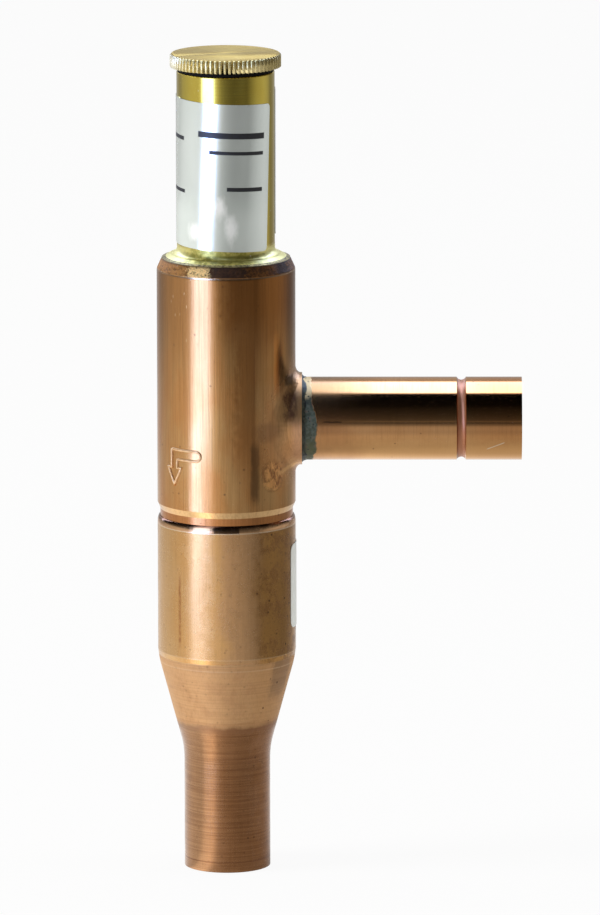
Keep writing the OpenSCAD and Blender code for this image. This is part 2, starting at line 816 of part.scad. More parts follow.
// A film wrapped on a cylinder, over an angle that starts at a given bearing
module wrapped_label(r, z, h, from, angle) {
    rotate(from)
        rotate_extrude(angle = angle)
            translate([r + eps, z]) square([label_t, h]);
}

// Bearings are counted from +X, anticlockwise as seen from above
module housing_label() {
    label_z = land_top_z + foot_fillet + housing_label_gap;
    color("#e8eaec")
    wrapped_label(housing_r, label_z, housing_label_h, housing_label_start_angle, housing_label_angle);
}

module body_label() {
    label_z = cone_top_z + cone_band + body_label_gap;
    color("#e4e4da")
    wrapped_label(body_r, label_z, body_label_h, body_label_start_angle, body_label_angle);
}

upper_shell();
lower_shell();
branch_tube();
spring_housing();
housing_braze_ring();
branch_braze_ring();
seat_ring();
damper_bracket();
damper_cylinder();
damper_cover();
damper_rivets();
housing_label();
body_label();
bellows();
main_spring();
spindle();
lower_spring_plate();
spindle_top_nut();
bellows_end_cap();
valve_plate();
valve_seal();
valve_plate_nut();
damper_piston();
upper_spring_plate();
setting_screw();
cap_gasket();
protective_cap();
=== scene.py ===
"""Looks for the crankcase pressure regulator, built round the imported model."""

import json
import math

import bmesh
import bpy
from mathutils import Matrix, Vector, noise


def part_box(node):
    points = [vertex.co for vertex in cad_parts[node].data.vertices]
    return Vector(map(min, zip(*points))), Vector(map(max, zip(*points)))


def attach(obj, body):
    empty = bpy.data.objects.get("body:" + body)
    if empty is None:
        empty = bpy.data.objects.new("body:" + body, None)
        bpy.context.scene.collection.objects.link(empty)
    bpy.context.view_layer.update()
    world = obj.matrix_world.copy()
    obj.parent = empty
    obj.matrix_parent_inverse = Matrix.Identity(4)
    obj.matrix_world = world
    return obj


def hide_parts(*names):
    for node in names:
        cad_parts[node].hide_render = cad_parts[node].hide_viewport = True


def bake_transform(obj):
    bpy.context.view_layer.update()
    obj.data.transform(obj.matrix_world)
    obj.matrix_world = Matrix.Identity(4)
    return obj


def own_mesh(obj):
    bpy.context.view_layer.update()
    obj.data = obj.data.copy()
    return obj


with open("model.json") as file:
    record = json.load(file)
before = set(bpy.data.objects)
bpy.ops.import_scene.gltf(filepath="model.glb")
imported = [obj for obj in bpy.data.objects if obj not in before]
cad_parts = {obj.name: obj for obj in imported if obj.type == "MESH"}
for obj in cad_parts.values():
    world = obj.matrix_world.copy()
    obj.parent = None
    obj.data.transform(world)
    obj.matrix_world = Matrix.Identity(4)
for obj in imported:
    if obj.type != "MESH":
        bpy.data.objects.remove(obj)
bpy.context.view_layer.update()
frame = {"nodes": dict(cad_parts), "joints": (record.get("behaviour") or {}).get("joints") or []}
scene = bpy.context.scene
scene.view_settings.view_transform = "Standard"

MM = 0.001


def joint_limit(name):
    """The longer limit of a sliding joint, in millimetres."""
    found = next(j for j in frame["joints"] if j["name"] == name)
    return max(abs(v) for v in found["range_m"]) / MM


def heights(node):
    """The lowest and the highest point of a node, in millimetres."""
    low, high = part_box(node)
    return low.z / MM, high.z / MM


# Main sizes in millimetres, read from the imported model
BODY_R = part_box("lower_shell")[1].x / MM
TUBE_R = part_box("branch_tube")[1].y / MM
BRANCH_Z = (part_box("branch_tube")[0].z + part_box("branch_tube")[1].z) / 2 / MM
BRANCH_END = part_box("branch_tube")[1].x / MM
COLLAR_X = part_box("upper_shell")[1].x / MM
RIM_Z = heights("upper_shell")[1]
CAP_Z, TOP_Z = heights("cap_gasket")[1], heights("protective_cap")[1]
# The gasket is a little narrower than the housing
HOUSING_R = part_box("cap_gasket")[1].x / MM + 0.1

# Features of the solids that a finish follows, in millimetres
GROOVE_X = BRANCH_END - 13.1
SHOULDER_H = 2.4
CHAMFER_Z = 80.2
NECK_Z = 79.35
CREVICE_Z = 77.3
LIP_Z = 76.25
CONE_Z = 47.0
FOOT_Z = 137.0

# Camera, at the photograph's angle
CAMERA_PLACE = Vector((30.0, -2196.0, 512.6)) * MM
CAMERA_PITCH = math.radians(10.885)
CAMERA_YAW = -0.0064
CAMERA_ROLL = -0.0013
CAMERA_LENS = 405.5
SENSOR = 36.0


def add_camera():
    """The camera, turned about the vertical, tilted down and rolled a little."""
    data = bpy.data.cameras.new("camera")
    data.lens = CAMERA_LENS
    data.sensor_width = SENSOR
    data.clip_end = 50.0
    camera = bpy.data.objects.new("camera", data)
    scene.collection.objects.link(camera)
    camera.location = CAMERA_PLACE
    turn = Matrix.Rotation(-CAMERA_YAW, 4, "Z")
    tilt = Matrix.Rotation(math.pi / 2 - CAMERA_PITCH, 4, "X")
    roll = Matrix.Rotation(CAMERA_ROLL, 4, "Z")
    camera.rotation_euler = (turn @ tilt @ roll).to_euler()
    scene.camera = camera


add_camera()


# Shader expressions

class Signal:
    """A shader socket that adds Math nodes as expressions are written with it."""

    def __init__(self, finish, socket):
        self.finish = finish
        self.socket = socket

    def maths(self, operation, *values):
        return self.finish.node("Math", {"operation": operation}, dict(enumerate(values)))

    def __add__(self, other):
        return self.maths("ADD", self, other)

    def __sub__(self, other):
        return self.maths("SUBTRACT", self, other)

    def __rsub__(self, other):
        return self.maths("SUBTRACT", other, self)

    def __mul__(self, other):
        return self.maths("MULTIPLY", self, other)

    def __truediv__(self, other):
        return self.maths("DIVIDE", self, other)

    def __pow__(self, other):
        return self.maths("POWER", self, other)

    def __abs__(self):
        return self.maths("ABSOLUTE", self)

    def __neg__(self):
        return self.maths("MULTIPLY", self, -1.0)

    __radd__ = __add__
    __rmul__ = __mul__


class Finish:
    """A material or a world, and the methods that add its nodes."""

    def __init__(self, name, world=None):
        self.owner = world or bpy.data.materials.new(name)
        self.owner.use_nodes = True
        self.tree = self.owner.node_tree
        if not world:
            self.shader = self.tree.nodes["Principled BSDF"]

    def node(self, kind, settings=None, inputs=None, output=0):
        """Adds a node, sets its settings first and then its sockets, and returns one output."""
        made = self.tree.nodes.new("ShaderNode" + kind)
        for name, value in (settings or {}).items():
            if name == "stops":
                self.set_stops(made.color_ramp, value)
            else:
                setattr(made, name, value)
        for key, value in (inputs or {}).items():
            self.feed(made.inputs[key], value)
        return Signal(self, made.outputs[output])

    def set_stops(self, ramp, stops):
        """Gives a ramp its stops, each a place and a grey value."""
        while len(ramp.elements) < len(stops):
            ramp.elements.new(1.0)
        for element, (place, value) in zip(ramp.elements, stops):
            element.position = place
            element.color = (value, value, value, 1.0)

    def feed(self, socket, value):
        """Links a signal to a socket, or sets the socket's own value."""
        if isinstance(value, Signal):
            self.tree.links.new(value.socket, socket)
        elif socket.type == "RGBA" and len(value) == 3:
            socket.default_value = (*value, 1.0)
        else:
            socket.default_value = value

    def outputs(self, signal, count):
        """The first outputs of the node that a signal comes from."""
        return [Signal(self, signal.socket.node.outputs[k]) for k in range(count)]

    def place(self):
        """The point on the piece along X, Y and Z, in millimetres."""
        spot = self.node("TexCoord", output=3)
        return [axis / MM for axis in self.outputs(self.node("SeparateXYZ", inputs={0: spot}), 3)]

    def bearing(self, x, y):
        """Degrees round the valve axis from -Y, positive towards +X."""
        return self.node("Math", {"operation": "ARCTAN2"}, {0: x, 1: -y}) * (180 / math.pi)

    def front(self, turn):
        """Fades what belongs to one side towards the back, where the bearing jumps."""
        return 1 - self.ease(abs(turn), 105, 165)

    def grain(self, vector, detail=2.0, rough=0.5):
        """Noise between 0 and 1 over a vector of three values."""
        spot = self.node("CombineXYZ", inputs=dict(enumerate(vector)))
        return self.node("TexNoise", inputs={"Vector": spot, "Scale": 1.0, "Detail": detail,
                                             "Roughness": rough})

    def dots(self, vector, size):
        """Round dots in the cells of a vector of three values, about one in each cell."""
        spot = self.node("CombineXYZ", inputs=dict(enumerate(vector)))
        far = self.node("TexVoronoi", inputs={"Vector": spot, "Scale": 1.0})
        return 1 - self.ease(far, size * 0.6, size)

    def ease(self, value, low, high):
        """Rises smoothly from 0 at low to 1 at high."""
        return self.node("MapRange", {"interpolation_type": "SMOOTHSTEP"},
                         {0: value, 1: low, 2: high, 3: 0.0, 4: 1.0})

    def band(self, value, centre, half, soft):
        """1 within half of the centre, falling to 0 over soft."""
        return 1 - self.ease(abs(value - centre), half, half + soft)

    def blend(self, share, first, second):
        """A number between two others."""
        return first + (second - first) * share

    def mix(self, share, first, second, blend="MIX"):
        """A colour between two others."""
        return self.node("Mix", {"data_type": "RGBA", "blend_type": blend},
                         {0: share, 6: first, 7: second}, output=2)

    def relief(self, height, depth):
        """A normal for bumps of that depth in millimetres."""
        return self.node("Bump", inputs={"Height": height, "Strength": 1.0,
                                         "Distance": depth * MM})

    def finish(self, colour, rough, metal=1.0, coat=0.0, coat_rough=0.2, normal=None):
        """Feeds the shader's sockets and returns the material."""
        sockets = {"Base Color": colour, "Roughness": rough, "Metallic": metal,
                   "Coat Weight": coat, "Coat Roughness": coat_rough}
        if normal:
            sockets["Normal"] = normal
        for name, value in sockets.items():
            self.feed(self.shader.inputs[name], value)
        return self.owner


# Studio. What a mirror shows is given by bearing from -Y, positive towards +X: for the far floor
# and the walls, for the floor near the valve and for the floor at its foot.
FAR_RING = [(-180, 0.5), (-160, 0.48), (-140, 0.36), (-129, 0.38), (-120, 0.52), (-100, 0.64),
            (-90, 0.72), (-79, 0.76), (-68, 0.8), (-61, 1.05), (-56, 2.1), (-28, 2.1), (-22, 1.3),
            (-15, 0.68), (-9, 0.42), (0, 0.28), (10, 0.21), (20, 0.18), (42, 0.225), (52, 0.2),
            (62, 0.33), (80, 0.5), (100, 0.62), (110, 0.58), (120, 0.46), (129, 0.27), (140, 0.3),
            (180, 0.5)]
NEAR_RING = [(-180, 0.95), (-150, 0.92), (-110, 0.84), (-95, 0.84), (-80, 0.92), (-68, 0.98),
             (-60, 1.2), (-54, 1.55), (-47, 1.25), (-38, 1.02), (-28, 0.98), (-18, 0.96),
             (-8, 0.92), (2, 0.78), (12, 0.68), (22, 0.6), (32, 0.5), (42, 0.38), (56, 0.3),
             (80, 0.26), (110, 0.2), (130, 0.36), (180, 0.95)]
CLOSE_RING = [(-180, 1.2), (-100, 1.3), (-67, 1.15), (-59, 1.9), (-36, 2.3), (-25, 1.1),
              (-10, 0.78), (0, 0.7), (25, 0.56), (50, 0.5), (110, 0.6), (140, 0.8), (180, 1.2)]
# The brightest that a table can hold
PEAK = 5.0
# Where one floor table gives way to the next, in metres from the valve axis
CLOSE_EDGE = 0.11
NEAR_EDGE = 0.25
FAR_EDGE = 0.75
WHITE = (1.0, 1.0, 1.0)
# The long lamp is cooler than the room, and its core shows only far out
LAMP_TINT = (1.0, 1.4, 2.7)
ROOF_TINT = (1.0, 1.25, 1.9)
CORE_LIGHT = (2.0, 3.0, 8.0)
LAMP_LIGHT = (2.1, 2.9, 5.0)
# Bearings of the lamp on the walls, of its core on the floor and of a spill nearer the valve
LAMP_TURN, CORE_TURN, SPILL_TURN = -42, -41, -50
CORE_EDGE = 0.68
SPILL_REACH = 0.435
# Brightness above the horizon by elevation in turns of 180 degrees, from the front over the top
ROOF = [(0.0, 0.12), (0.045, 0.065), (0.12, 0.035), (0.25, 0.005), (0.45, 0.0), (0.475, 3.5),
        (0.71, 3.5), (0.76, 0.6), (1.0, 0.45)]
# How much of the floor's own light the picture shows, the rest being its shadow
OPEN_SHARE = 0.92
# Soft light on matt pieces, and how much stronger it is from behind than from the side
SOFT_LIGHT = 0.5
SOFT_BACK = 0.28
FLOOR_COLOUR = (0.9, 0.9, 0.9)
FLOOR_HALF = 6.0


def by_table(finish, place, table):
    """Brightness at a place between 0 and 1, by a table of places and values."""
    return finish.node("ValToRGB", {"stops": [(at, value / PEAK) for at, value in table]},
                       {0: place}) * PEAK


def ring(finish, around, table):
    """Brightness at a bearing, by a table of bearings and values."""
    stops = [(0.5 + turn / 360, value) for turn, value in table]
    return by_table(finish, around / 360 + 0.5, stops)


def tinted(finish, level, share=1.0):
    """A brightness with the lamp's tint where it is high."""
    tint = finish.mix(finish.ease(level, 0.9, 2.1) * share, WHITE, LAMP_TINT)
    return finish.mix(1.0, tint, level, "MULTIPLY")


def add_studio():
    """The world: a white picture ground, soft light on matt pieces and a room in the mirrors."""
    world = bpy.data.worlds.new("studio")
    scene.world = world
    world.cycles.sampling_method = "NONE"
    finish = Finish("studio", world)
    x, y, z = finish.outputs(finish.node("SeparateXYZ", inputs={0: finish.node("TexCoord")}), 3)
    seen = finish.node("LightPath")
    glossy = Signal(finish, seen.socket.node.outputs["Is Glossy Ray"])
    around = finish.bearing(x, y)
    height = finish.node("Math", {"operation": "ARCTAN2"}, {0: z, 1: abs(x) - y}) / math.pi
    low = finish.ease(height, -0.01, 0.02)
    walls = tinted(finish, ring(finish, around, FAR_RING))
    roof = by_table(finish, height, ROOF)
    tint = finish.mix(finish.ease(roof, 1.0, 3.0), WHITE, ROOF_TINT)
    shown = finish.mix(low, walls, finish.mix(1.0, tint, roof, "MULTIPLY"))
    column = finish.band(around, LAMP_TURN, 12, 5) * (1 - finish.ease(height, 0.42, 0.5))
    shown = finish.mix(column, shown, LAMP_LIGHT)
    lit = finish.mix(glossy, SOFT_LIGHT + SOFT_BACK * y, shown)
    finish.feed(finish.tree.nodes["Background"].inputs["Color"], finish.mix(seen, lit, WHITE))


def floor_finish():
    """The floor: white in the picture, three tables in the mirrors and plain to all else."""
    finish = Finish("floor")
    x, y, _ = finish.place()
    seen = finish.node("LightPath")
    glossy = Signal(finish, seen.socket.node.outputs["Is Glossy Ray"])
    passed = Signal(finish, seen.socket.node.outputs["Is Transmission Ray"])
    around = finish.bearing(x, y)
    reach = (x * x + y * y) ** 0.5 * MM
    beyond = finish.ease(reach, CLOSE_EDGE, NEAR_EDGE)
    level = finish.blend(beyond, ring(finish, around, CLOSE_RING), ring(finish, around, NEAR_RING))
    level = finish.blend(finish.ease(reach, NEAR_EDGE, FAR_EDGE), level,
                         ring(finish, around, FAR_RING))
    # In front of the valve the far floor falls off into the dark
    level = level * (1 - finish.ease(reach, 0.95, 1.5) * finish.band(around, 0, 50, 30) * 0.7)
    core = finish.ease(reach, CORE_EDGE, CORE_EDGE + 0.1) * finish.band(around, CORE_TURN, 11, 6)
    spill = finish.band(reach, SPILL_REACH, 0.03, 0.05) * finish.band(around, SPILL_TURN, 8, 8)
    core = finish.node("Math", {"operation": "MAXIMUM"}, {0: core, 1: spill * 0.9})
    shown = finish.mix(core, tinted(finish, level, beyond), CORE_LIGHT, "ADD")
    colour = finish.mix(glossy, WHITE, shown)
    glow = finish.node("Emission", inputs={"Color": colour})
    plain = finish.node("BsdfDiffuse", inputs={"Color": FLOOR_COLOUR})
    share = (seen + passed) * OPEN_SHARE + glossy
    mixed = finish.node("MixShader", inputs={0: share, 1: plain, 2: glow})
    finish.tree.links.new(mixed.socket, finish.tree.nodes["Material Output"].inputs["Surface"])
    finish.owner.cycles.emission_sampling = "NONE"
    return finish.owner


def add_floor():
    shape = bmesh.new()
    bmesh.ops.create_grid(shape, x_segments=1, y_segments=1, size=FLOOR_HALF)
    mesh = bpy.data.meshes.new("floor")
    shape.to_mesh(mesh)
    shape.free()
    floor = bpy.data.objects.new("floor", mesh)
    scene.collection.objects.link(floor)
    mesh.materials.append(floor_finish())


def add_lamp(name, place, aim, size, power):
    """An area lamp at a place in metres, aimed at a point, which no mirror shows."""
    data = bpy.data.lights.new(name, "AREA")
    data.shape = "RECTANGLE"
    data.size, data.size_y = size
    data.energy = power
    lamp = bpy.data.objects.new(name, data)
    scene.collection.objects.link(lamp)
    lamp.location = place
    lamp.rotation_euler = (Vector(place) - Vector(aim)).to_track_quat("Z", "Y").to_euler()
    lamp.visible_glossy = False


add_studio()
add_floor()
add_lamp("key", (-1.5, -0.3, 0.6), (0, 0, 0.1), (0.7, 0.9), 23.0)
add_lamp("fill", (1.5, 0.0, 0.5), (0, 0, 0.1), (0.7, 0.9), 6.0)


# Copper finishes. Colours are linear.
TAN = (0.63, 0.355, 0.14)
ORANGE = (0.62, 0.295, 0.1)
DARK_BROWN = (0.16, 0.06, 0.025)
PALE = (0.85, 0.66, 0.46)


def upper_shell_finish():
    """Brushed copper, stained by the heat of brazing, with brown oxide on the shoulder, and painted
    shade and highlights.
    """
    finish = Finish("copper_upper_shell")
    x, y, z = finish.place()
    turn = finish.bearing(x, y)
    up = z - BRANCH_Z
    brushing = finish.grain((x * 4.0, y * 4.0, z * 0.07), 3.0)
    rubbed = finish.grain((x * 1.3, y * 1.3, z * 0.045), 4.0, 0.7)
    clouds = finish.grain((x * 0.14, y * 0.14, z * 0.07), 3.0)
    mottle = finish.grain((x * 0.8, y * 0.8, z * 0.5), 4.0, 0.6)
    near_side = finish.ease(x, 4, 9) * finish.ease(-y, 0, 2)

    colour = finish.mix(finish.ease(clouds, 0.35, 0.65), TAN, ORANGE)
    colour = finish.mix(finish.ease(z, 100, 128), colour, (0.49, 0.24, 0.085))
    # Brown heat tint, partly painted shade: all of the right half at the top, and a band with a
    # sharp edge further down
    soft_turn = turn + (mottle - 0.5) * 20
    top = finish.front(turn) * finish.ease(soft_turn, -14, 10)
    top = top * finish.ease(z + (clouds - 0.5) * 12, 113, 126)
    side = finish.ease(soft_turn, 2, 15) * (1 - finish.ease(turn + (mottle - 0.5) * 2, 24.5, 26))
    side = side * finish.ease(z, 84, 100)
    tint = finish.node("Math", {"operation": "MAXIMUM"}, {0: top, 1: side * 0.62})
    colour = finish.mix(tint, colour, (0.36, 0.145, 0.038))
    # Painted shade, darker on the right flank from above the branch upwards
    painted_shade_flank = finish.front(turn) * finish.ease(turn, 24, 62) * finish.ease(z, 100, 112)
    colour = finish.mix(painted_shade_flank * 0.8, colour, (0.62, 0.6, 0.5), "MULTIPLY")
    # Dark streak below the collar, and a brown cloud where it starts
    streak = finish.band(turn + (mottle - 0.5) * 4, 25, 1.8, 4.0) * finish.band(z, 89.5, 4.5, 3.5)
    colour = finish.mix(streak * 0.7, colour, (0.14, 0.07, 0.03))
    cloud_far = ((turn - 36) * 0.16) ** 2.0 + (z - 98.0) ** 2.0
    cloud = 1 - finish.ease(cloud_far + (mottle - 0.5) * 6, 1.0, 8.0)
    colour = finish.mix(cloud * near_side * 0.45, colour, (0.2, 0.09, 0.04))
    # Heat stains of the collar: an orange streak above it and a purple zone at its lip
    from_branch = (y * y + up * up) ** 0.5
    near = (1 - finish.ease(from_branch + (mottle - 0.5) * 4, 10.5, 17.0)) * near_side
    colour = finish.mix(near * 0.35, colour, (0.5, 0.26, 0.12))
    orange = finish.band(turn + (mottle - 0.5) * 3, 47, 1.4, 3.0) * finish.band(z, 112.5, 3.5, 5.0)
    colour = finish.mix(orange * 0.65, colour, (0.62, 0.24, 0.06))
    purple = finish.band(x + (mottle - 0.5) * 1.5, 14.0, 0.9, 1.0) * finish.band(up, 4.4, 1.8, 2.4)
    purple = purple * near_side * finish.ease(mottle, 0.25, 0.6)
    colour = finish.mix(purple * 0.85, colour, (0.12, 0.045, 0.025))
    smudge = finish.band(x, 13.6, 0.5, 0.6) * finish.band(up, 9.6, 0.7, 0.8)
    colour = finish.mix(smudge * 0.7, colour, (0.09, 0.06, 0.03))
    flush = finish.ease(x, 13.6, 15.4) * finish.band(up, -3.0, 3.0, 2.5)
    colour = finish.mix(flush * 0.5, colour, (0.66, 0.36, 0.21))
    # Rough orange patch below the collar, with darker creases
    patch_far = ((turn - 43) * 0.28) ** 2.0 + (z - 88.5) ** 2.0
    patch = 1 - finish.ease(patch_far + (mottle - 0.5) * 10, 6.0, 15.0)
    lumps = finish.grain((x * 0.6, y * 0.6, z * 0.6 + mottle * 1.4), 4.0, 0.7)
    rusty = finish.mix(finish.ease(lumps, 0.38, 0.6), (0.26, 0.1, 0.03), (0.78, 0.38, 0.12))
    colour = finish.mix(patch * 0.85, colour, rusty)
    # Painted highlight: a pale gold line along the lower edge of the collar's fillet
    painted_fillet_highlight = finish.band(z - 88.7 - (turn - 50) * 0.05 + (mottle - 0.5) * 1.2, 0.0, 0.2, 0.5)
    painted_fillet_highlight = painted_fillet_highlight * finish.band(turn, 62, 9, 7)
    colour = finish.mix(painted_fillet_highlight * 0.7, colour, (0.88, 0.5, 0.19))
    # Shoulder: brown oxide, dark in the middle, with a painted highlight in pink on the left, above
    # a pale edge that the painted highlight brightens where it crosses
    corner = RIM_Z - SHOULDER_H
    shoulder = finish.ease(z, corner + 0.02, corner + 0.3)
    crust = finish.grain((x * 1.2, y * 1.2, z * 1.6), 5.0, 0.75)
    ragged = turn + (crust - 0.5) * 30
    oxide = finish.mix(finish.ease(crust, 0.38, 0.64), (0.075, 0.028, 0.006), (0.24, 0.092, 0.018))
    left_side = (1 - finish.ease(ragged, -44, -22)) * finish.front(turn)
    oxide = finish.mix(left_side * finish.ease(crust, 0.3, 0.55), oxide, (0.52, 0.23, 0.05))
    oxide = finish.mix(finish.band(ragged, 2, 14, 8) * 0.75, oxide, (0.03, 0.013, 0.005))
    oxide = finish.mix(finish.band(ragged, 59, 6, 5) * 0.8, oxide, (0.02, 0.009, 0.004))
    # Painted highlight: the long lamp's reflection, painted pink on the crust
    pink = finish.band(ragged, -24, 8.5, 4) * finish.ease(crust, 0.36, 0.54)
    oxide = finish.mix(pink, oxide, (0.97, 0.6, 0.2))
    oxide = finish.mix(finish.ease(z + (crust - 0.5) * 1.2, RIM_Z - 0.5, RIM_Z) * 0.6, oxide,
                       (0.03, 0.014, 0.006))
    colour = finish.mix(shoulder, colour, oxide)
    # Pale edge line, brighter as a painted highlight where the lamp's reflection crosses it
    edge = finish.band(z, corner - 0.05, 0.06, 0.14)
    colour = finish.mix(edge * (0.45 + finish.band(turn, -22, 14, 8) * 0.55), colour, PALE)
    # Chamfer and neck at the joint
    neck = 1 - finish.ease(z, NECK_Z, NECK_Z + 0.25)
    colour = finish.mix(neck, colour, (0.56, 0.235, 0.08))
    chamfer = finish.band(z, CHAMFER_Z, 0.6, 0.15)
    colour = finish.mix(chamfer * 0.6, colour, (0.82, 0.55, 0.27))
    # Specks and small scratches
    specks = finish.dots((x * 0.45, y * 0.45, z * 0.45), 0.13) * finish.ease(mottle, 0.42, 0.6)
    colour = finish.mix(specks * 0.55, colour, DARK_BROWN)
    nicks = finish.dots((x * 0.9, y * 0.9, z * 0.22), 0.1) * finish.band(turn, -38, 12, 10)
    colour = finish.mix(nicks * finish.ease(z, 112, 122) * 0.6, colour, PALE)
    brushed = finish.ease(brushing, 0.4, 0.75) * 0.6
    colour = finish.mix(brushed, colour, (0.76, 0.75, 0.74), "MULTIPLY")
    worn = finish.ease(rubbed, 0.42, 0.68) * 0.5
    colour = finish.mix(worn, colour, (0.82, 0.79, 0.75), "MULTIPLY")

    rough = 0.18 + (clouds - 0.5) * 0.08 + shoulder * 0.3 + near * 0.14 + patch * 0.2
    height = brushing * 0.7 + mottle * 0.5 + near * mottle * 2 + patch * lumps * 12
    height = height + shoulder * crust * 16
    normal = finish.relief(height, 0.012)
    metal = 1 - shoulder * 0.3 - near * 0.25 - patch * 0.3
    return finish.finish(colour, rough, metal, 0.06 - shoulder * 0.06, 0.3, normal)


def lower_shell_finish():
    """Brushed copper above a matt turned cone, browner and specked on the right, with painted shade
    and painted reflections at the lip and the neck.
    """
    finish = Finish("copper_lower_shell")
    x, y, z = finish.place()
    turn = finish.bearing(x, y)
    brushing = finish.grain((x * 4.0, y * 4.0, z * 0.09), 3.0)
    clouds = finish.grain((x * 0.16, y * 0.16, z * 0.1), 3.0)
    mottle = finish.grain((x * 0.9, y * 0.9, z * 0.6), 4.0, 0.6)
    stains = finish.grain((x * 0.35, y * 0.35, z * 0.28), 5.0, 0.7)
    turned = finish.grain((x * 0.04, y * 0.04, z * 3.6), 4.0, 0.65)
    fine = finish.grain((x * 0.12, y * 0.12, z * 9.0), 2.0)

    colour = finish.mix(finish.ease(clouds, 0.35, 0.65), TAN, (0.63, 0.345, 0.125))
    drift = (clouds - 0.5) * 40
    left = (1 - finish.ease(turn + drift, -62, -34)) * finish.front(turn)
    colour = finish.mix(left * 0.5, colour, (0.66, 0.42, 0.19))
    pinkish = finish.band(turn + drift, 14, 13, 12)
    colour = finish.mix(pinkish * 0.45, colour, (0.6, 0.34, 0.19))
    # Browner on the right, with dark stains and an edge that wanders
    right = finish.ease(turn + drift * 0.4 + (mottle - 0.5) * 8, 20, 34) * finish.front(turn)
    colour = finish.mix(right * 0.7, colour, (0.47, 0.23, 0.06))
    blots = finish.ease(stains + (mottle - 0.5) * 0.5, 0.42, 0.62)
    colour = finish.mix(blots * right * 0.65, colour, (0.2, 0.085, 0.025))
    hatch = finish.ease(finish.grain((x * 0.3, y * 0.3, z * 5.0), 3.0, 0.7), 0.45, 0.7)
    colour = finish.mix(hatch * 0.25, colour, (0.8, 0.74, 0.7), "MULTIPLY")
    # Vertical streaks on the left, one of them darker
    streak = finish.band(turn, -42, 0.5, 1.4) * finish.band(z, 58.5, 6.0, 3.0)
    colour = finish.mix(streak * finish.ease(mottle, 0.3, 0.6) * 0.75, colour, (0.34, 0.12, 0.035))
    # Cone, matt and pale, then redder copper from its lower third on
    cone = 1 - finish.ease(z, CONE_Z, CONE_Z + 0.4)
    pale = finish.mix(right * 0.5, (0.64, 0.36, 0.155), (0.56, 0.3, 0.115))
    pale = finish.mix(finish.ease(stains, 0.5, 0.7) * 0.3, pale, (0.5, 0.25, 0.1))
    colour = finish.mix(cone, colour, pale)
    dirt = finish.band(turn + (mottle - 0.5) * 14, 57, 9, 8)
    dirt = dirt * finish.band(z + stains * 4, CONE_Z - 0.5, 3, 4)
    colour = finish.mix(dirt * cone * 0.5, colour, (0.22, 0.13, 0.07))
    lines = finish.band(z, CONE_Z + 1.35, 0.05, 0.1) + finish.band(z, CONE_Z - 1.25, 0.06, 0.12)
    colour = finish.mix(lines * 0.4, colour, (0.78, 0.54, 0.32))
    wave = z + (clouds - 0.5) * 1.2
    redder = 1 - finish.ease(wave + (stains - 0.5) * 2.5, 31.9, 33.4)
    deep = finish.mix(finish.ease(clouds, 0.3, 0.7), (0.33, 0.155, 0.066), (0.3, 0.135, 0.053))
    # Painted reflection: paler and yellower on the left of the neck
    deep = finish.mix(finish.band(turn, -75, 30, 45), deep, (0.36, 0.195, 0.095))
    colour = finish.mix(redder, colour, deep)
    band_line = finish.band(wave, 33.3, 0.1, 0.35)
    colour = finish.mix(band_line * 0.4, colour, (0.5, 0.25, 0.1))
    below = 1 - finish.ease(z, 30.0, 34.0)
    rings = finish.ease(turned, 0.42, 0.64) * (0.22 * cone + 0.3 * below)
    rings = rings + finish.ease(fine, 0.45, 0.65) * 0.35 * below
    colour = finish.mix(rings, colour, (0.62, 0.54, 0.5), "MULTIPLY")
    end_line = finish.band(z + (mottle - 0.5) * 0.3, 2.2, 0.08, 0.1)
    colour = finish.mix(end_line * 0.6, colour, DARK_BROWN)
    # Lip, polished, with a painted dark reflection in front and a fine light line where it starts
    lip = finish.ease(z, LIP_Z, LIP_Z + 0.15)
    colour = finish.mix(lip, colour, (0.7, 0.4, 0.2))
    # Painted dark reflection along the front of the lip
    black = lip * finish.band(turn, 0.5, 10.0, 1.5)
    colour = finish.mix(black * 0.85, colour, (0.02, 0.008, 0.004))
    lip_line = finish.band(z, LIP_Z, 0.06, 0.1)
    colour = finish.mix(lip_line * 0.7, colour, PALE)
    # Painted shade in the crevice between the shells
    crevice_shade = finish.ease(z, CREVICE_Z, CREVICE_Z + 0.3)
    colour = finish.mix(crevice_shade * 0.8, colour, (0.2, 0.06, 0.02))
    # Specks, most of them on the right
    cells = finish.dots((x * 0.5, y * 0.5, z * 0.5), 0.16)
    specks = cells * (0.35 + right) * finish.ease(mottle, 0.36, 0.56)
    small = finish.dots((x * 1.4, y * 1.4, z * 1.1), 0.22) * (0.15 + right) * (1 - cone)
    colour = finish.mix((specks + small * 0.5) * 0.65, colour, (0.1, 0.04, 0.015))
    brushed = finish.ease(brushing, 0.4, 0.75) * 0.4
    colour = finish.mix(brushed, colour, (0.8, 0.79, 0.77), "MULTIPLY")

    rough = 0.2 + (clouds - 0.5) * 0.08 + cone * 0.4 + blots * 0.08 - below * 0.4 - lip * 0.06
    height = brushing * (1 - cone) * 0.4 + mottle * 0.1 + (turned + fine * 0.5) * cone * 1.6
    normal = finish.relief(height, 0.012)
    metal = 1 - (cone - below) * 0.35 - blots * right * 0.2
    return finish.finish(colour, rough, metal, 0.08, 0.35, normal)


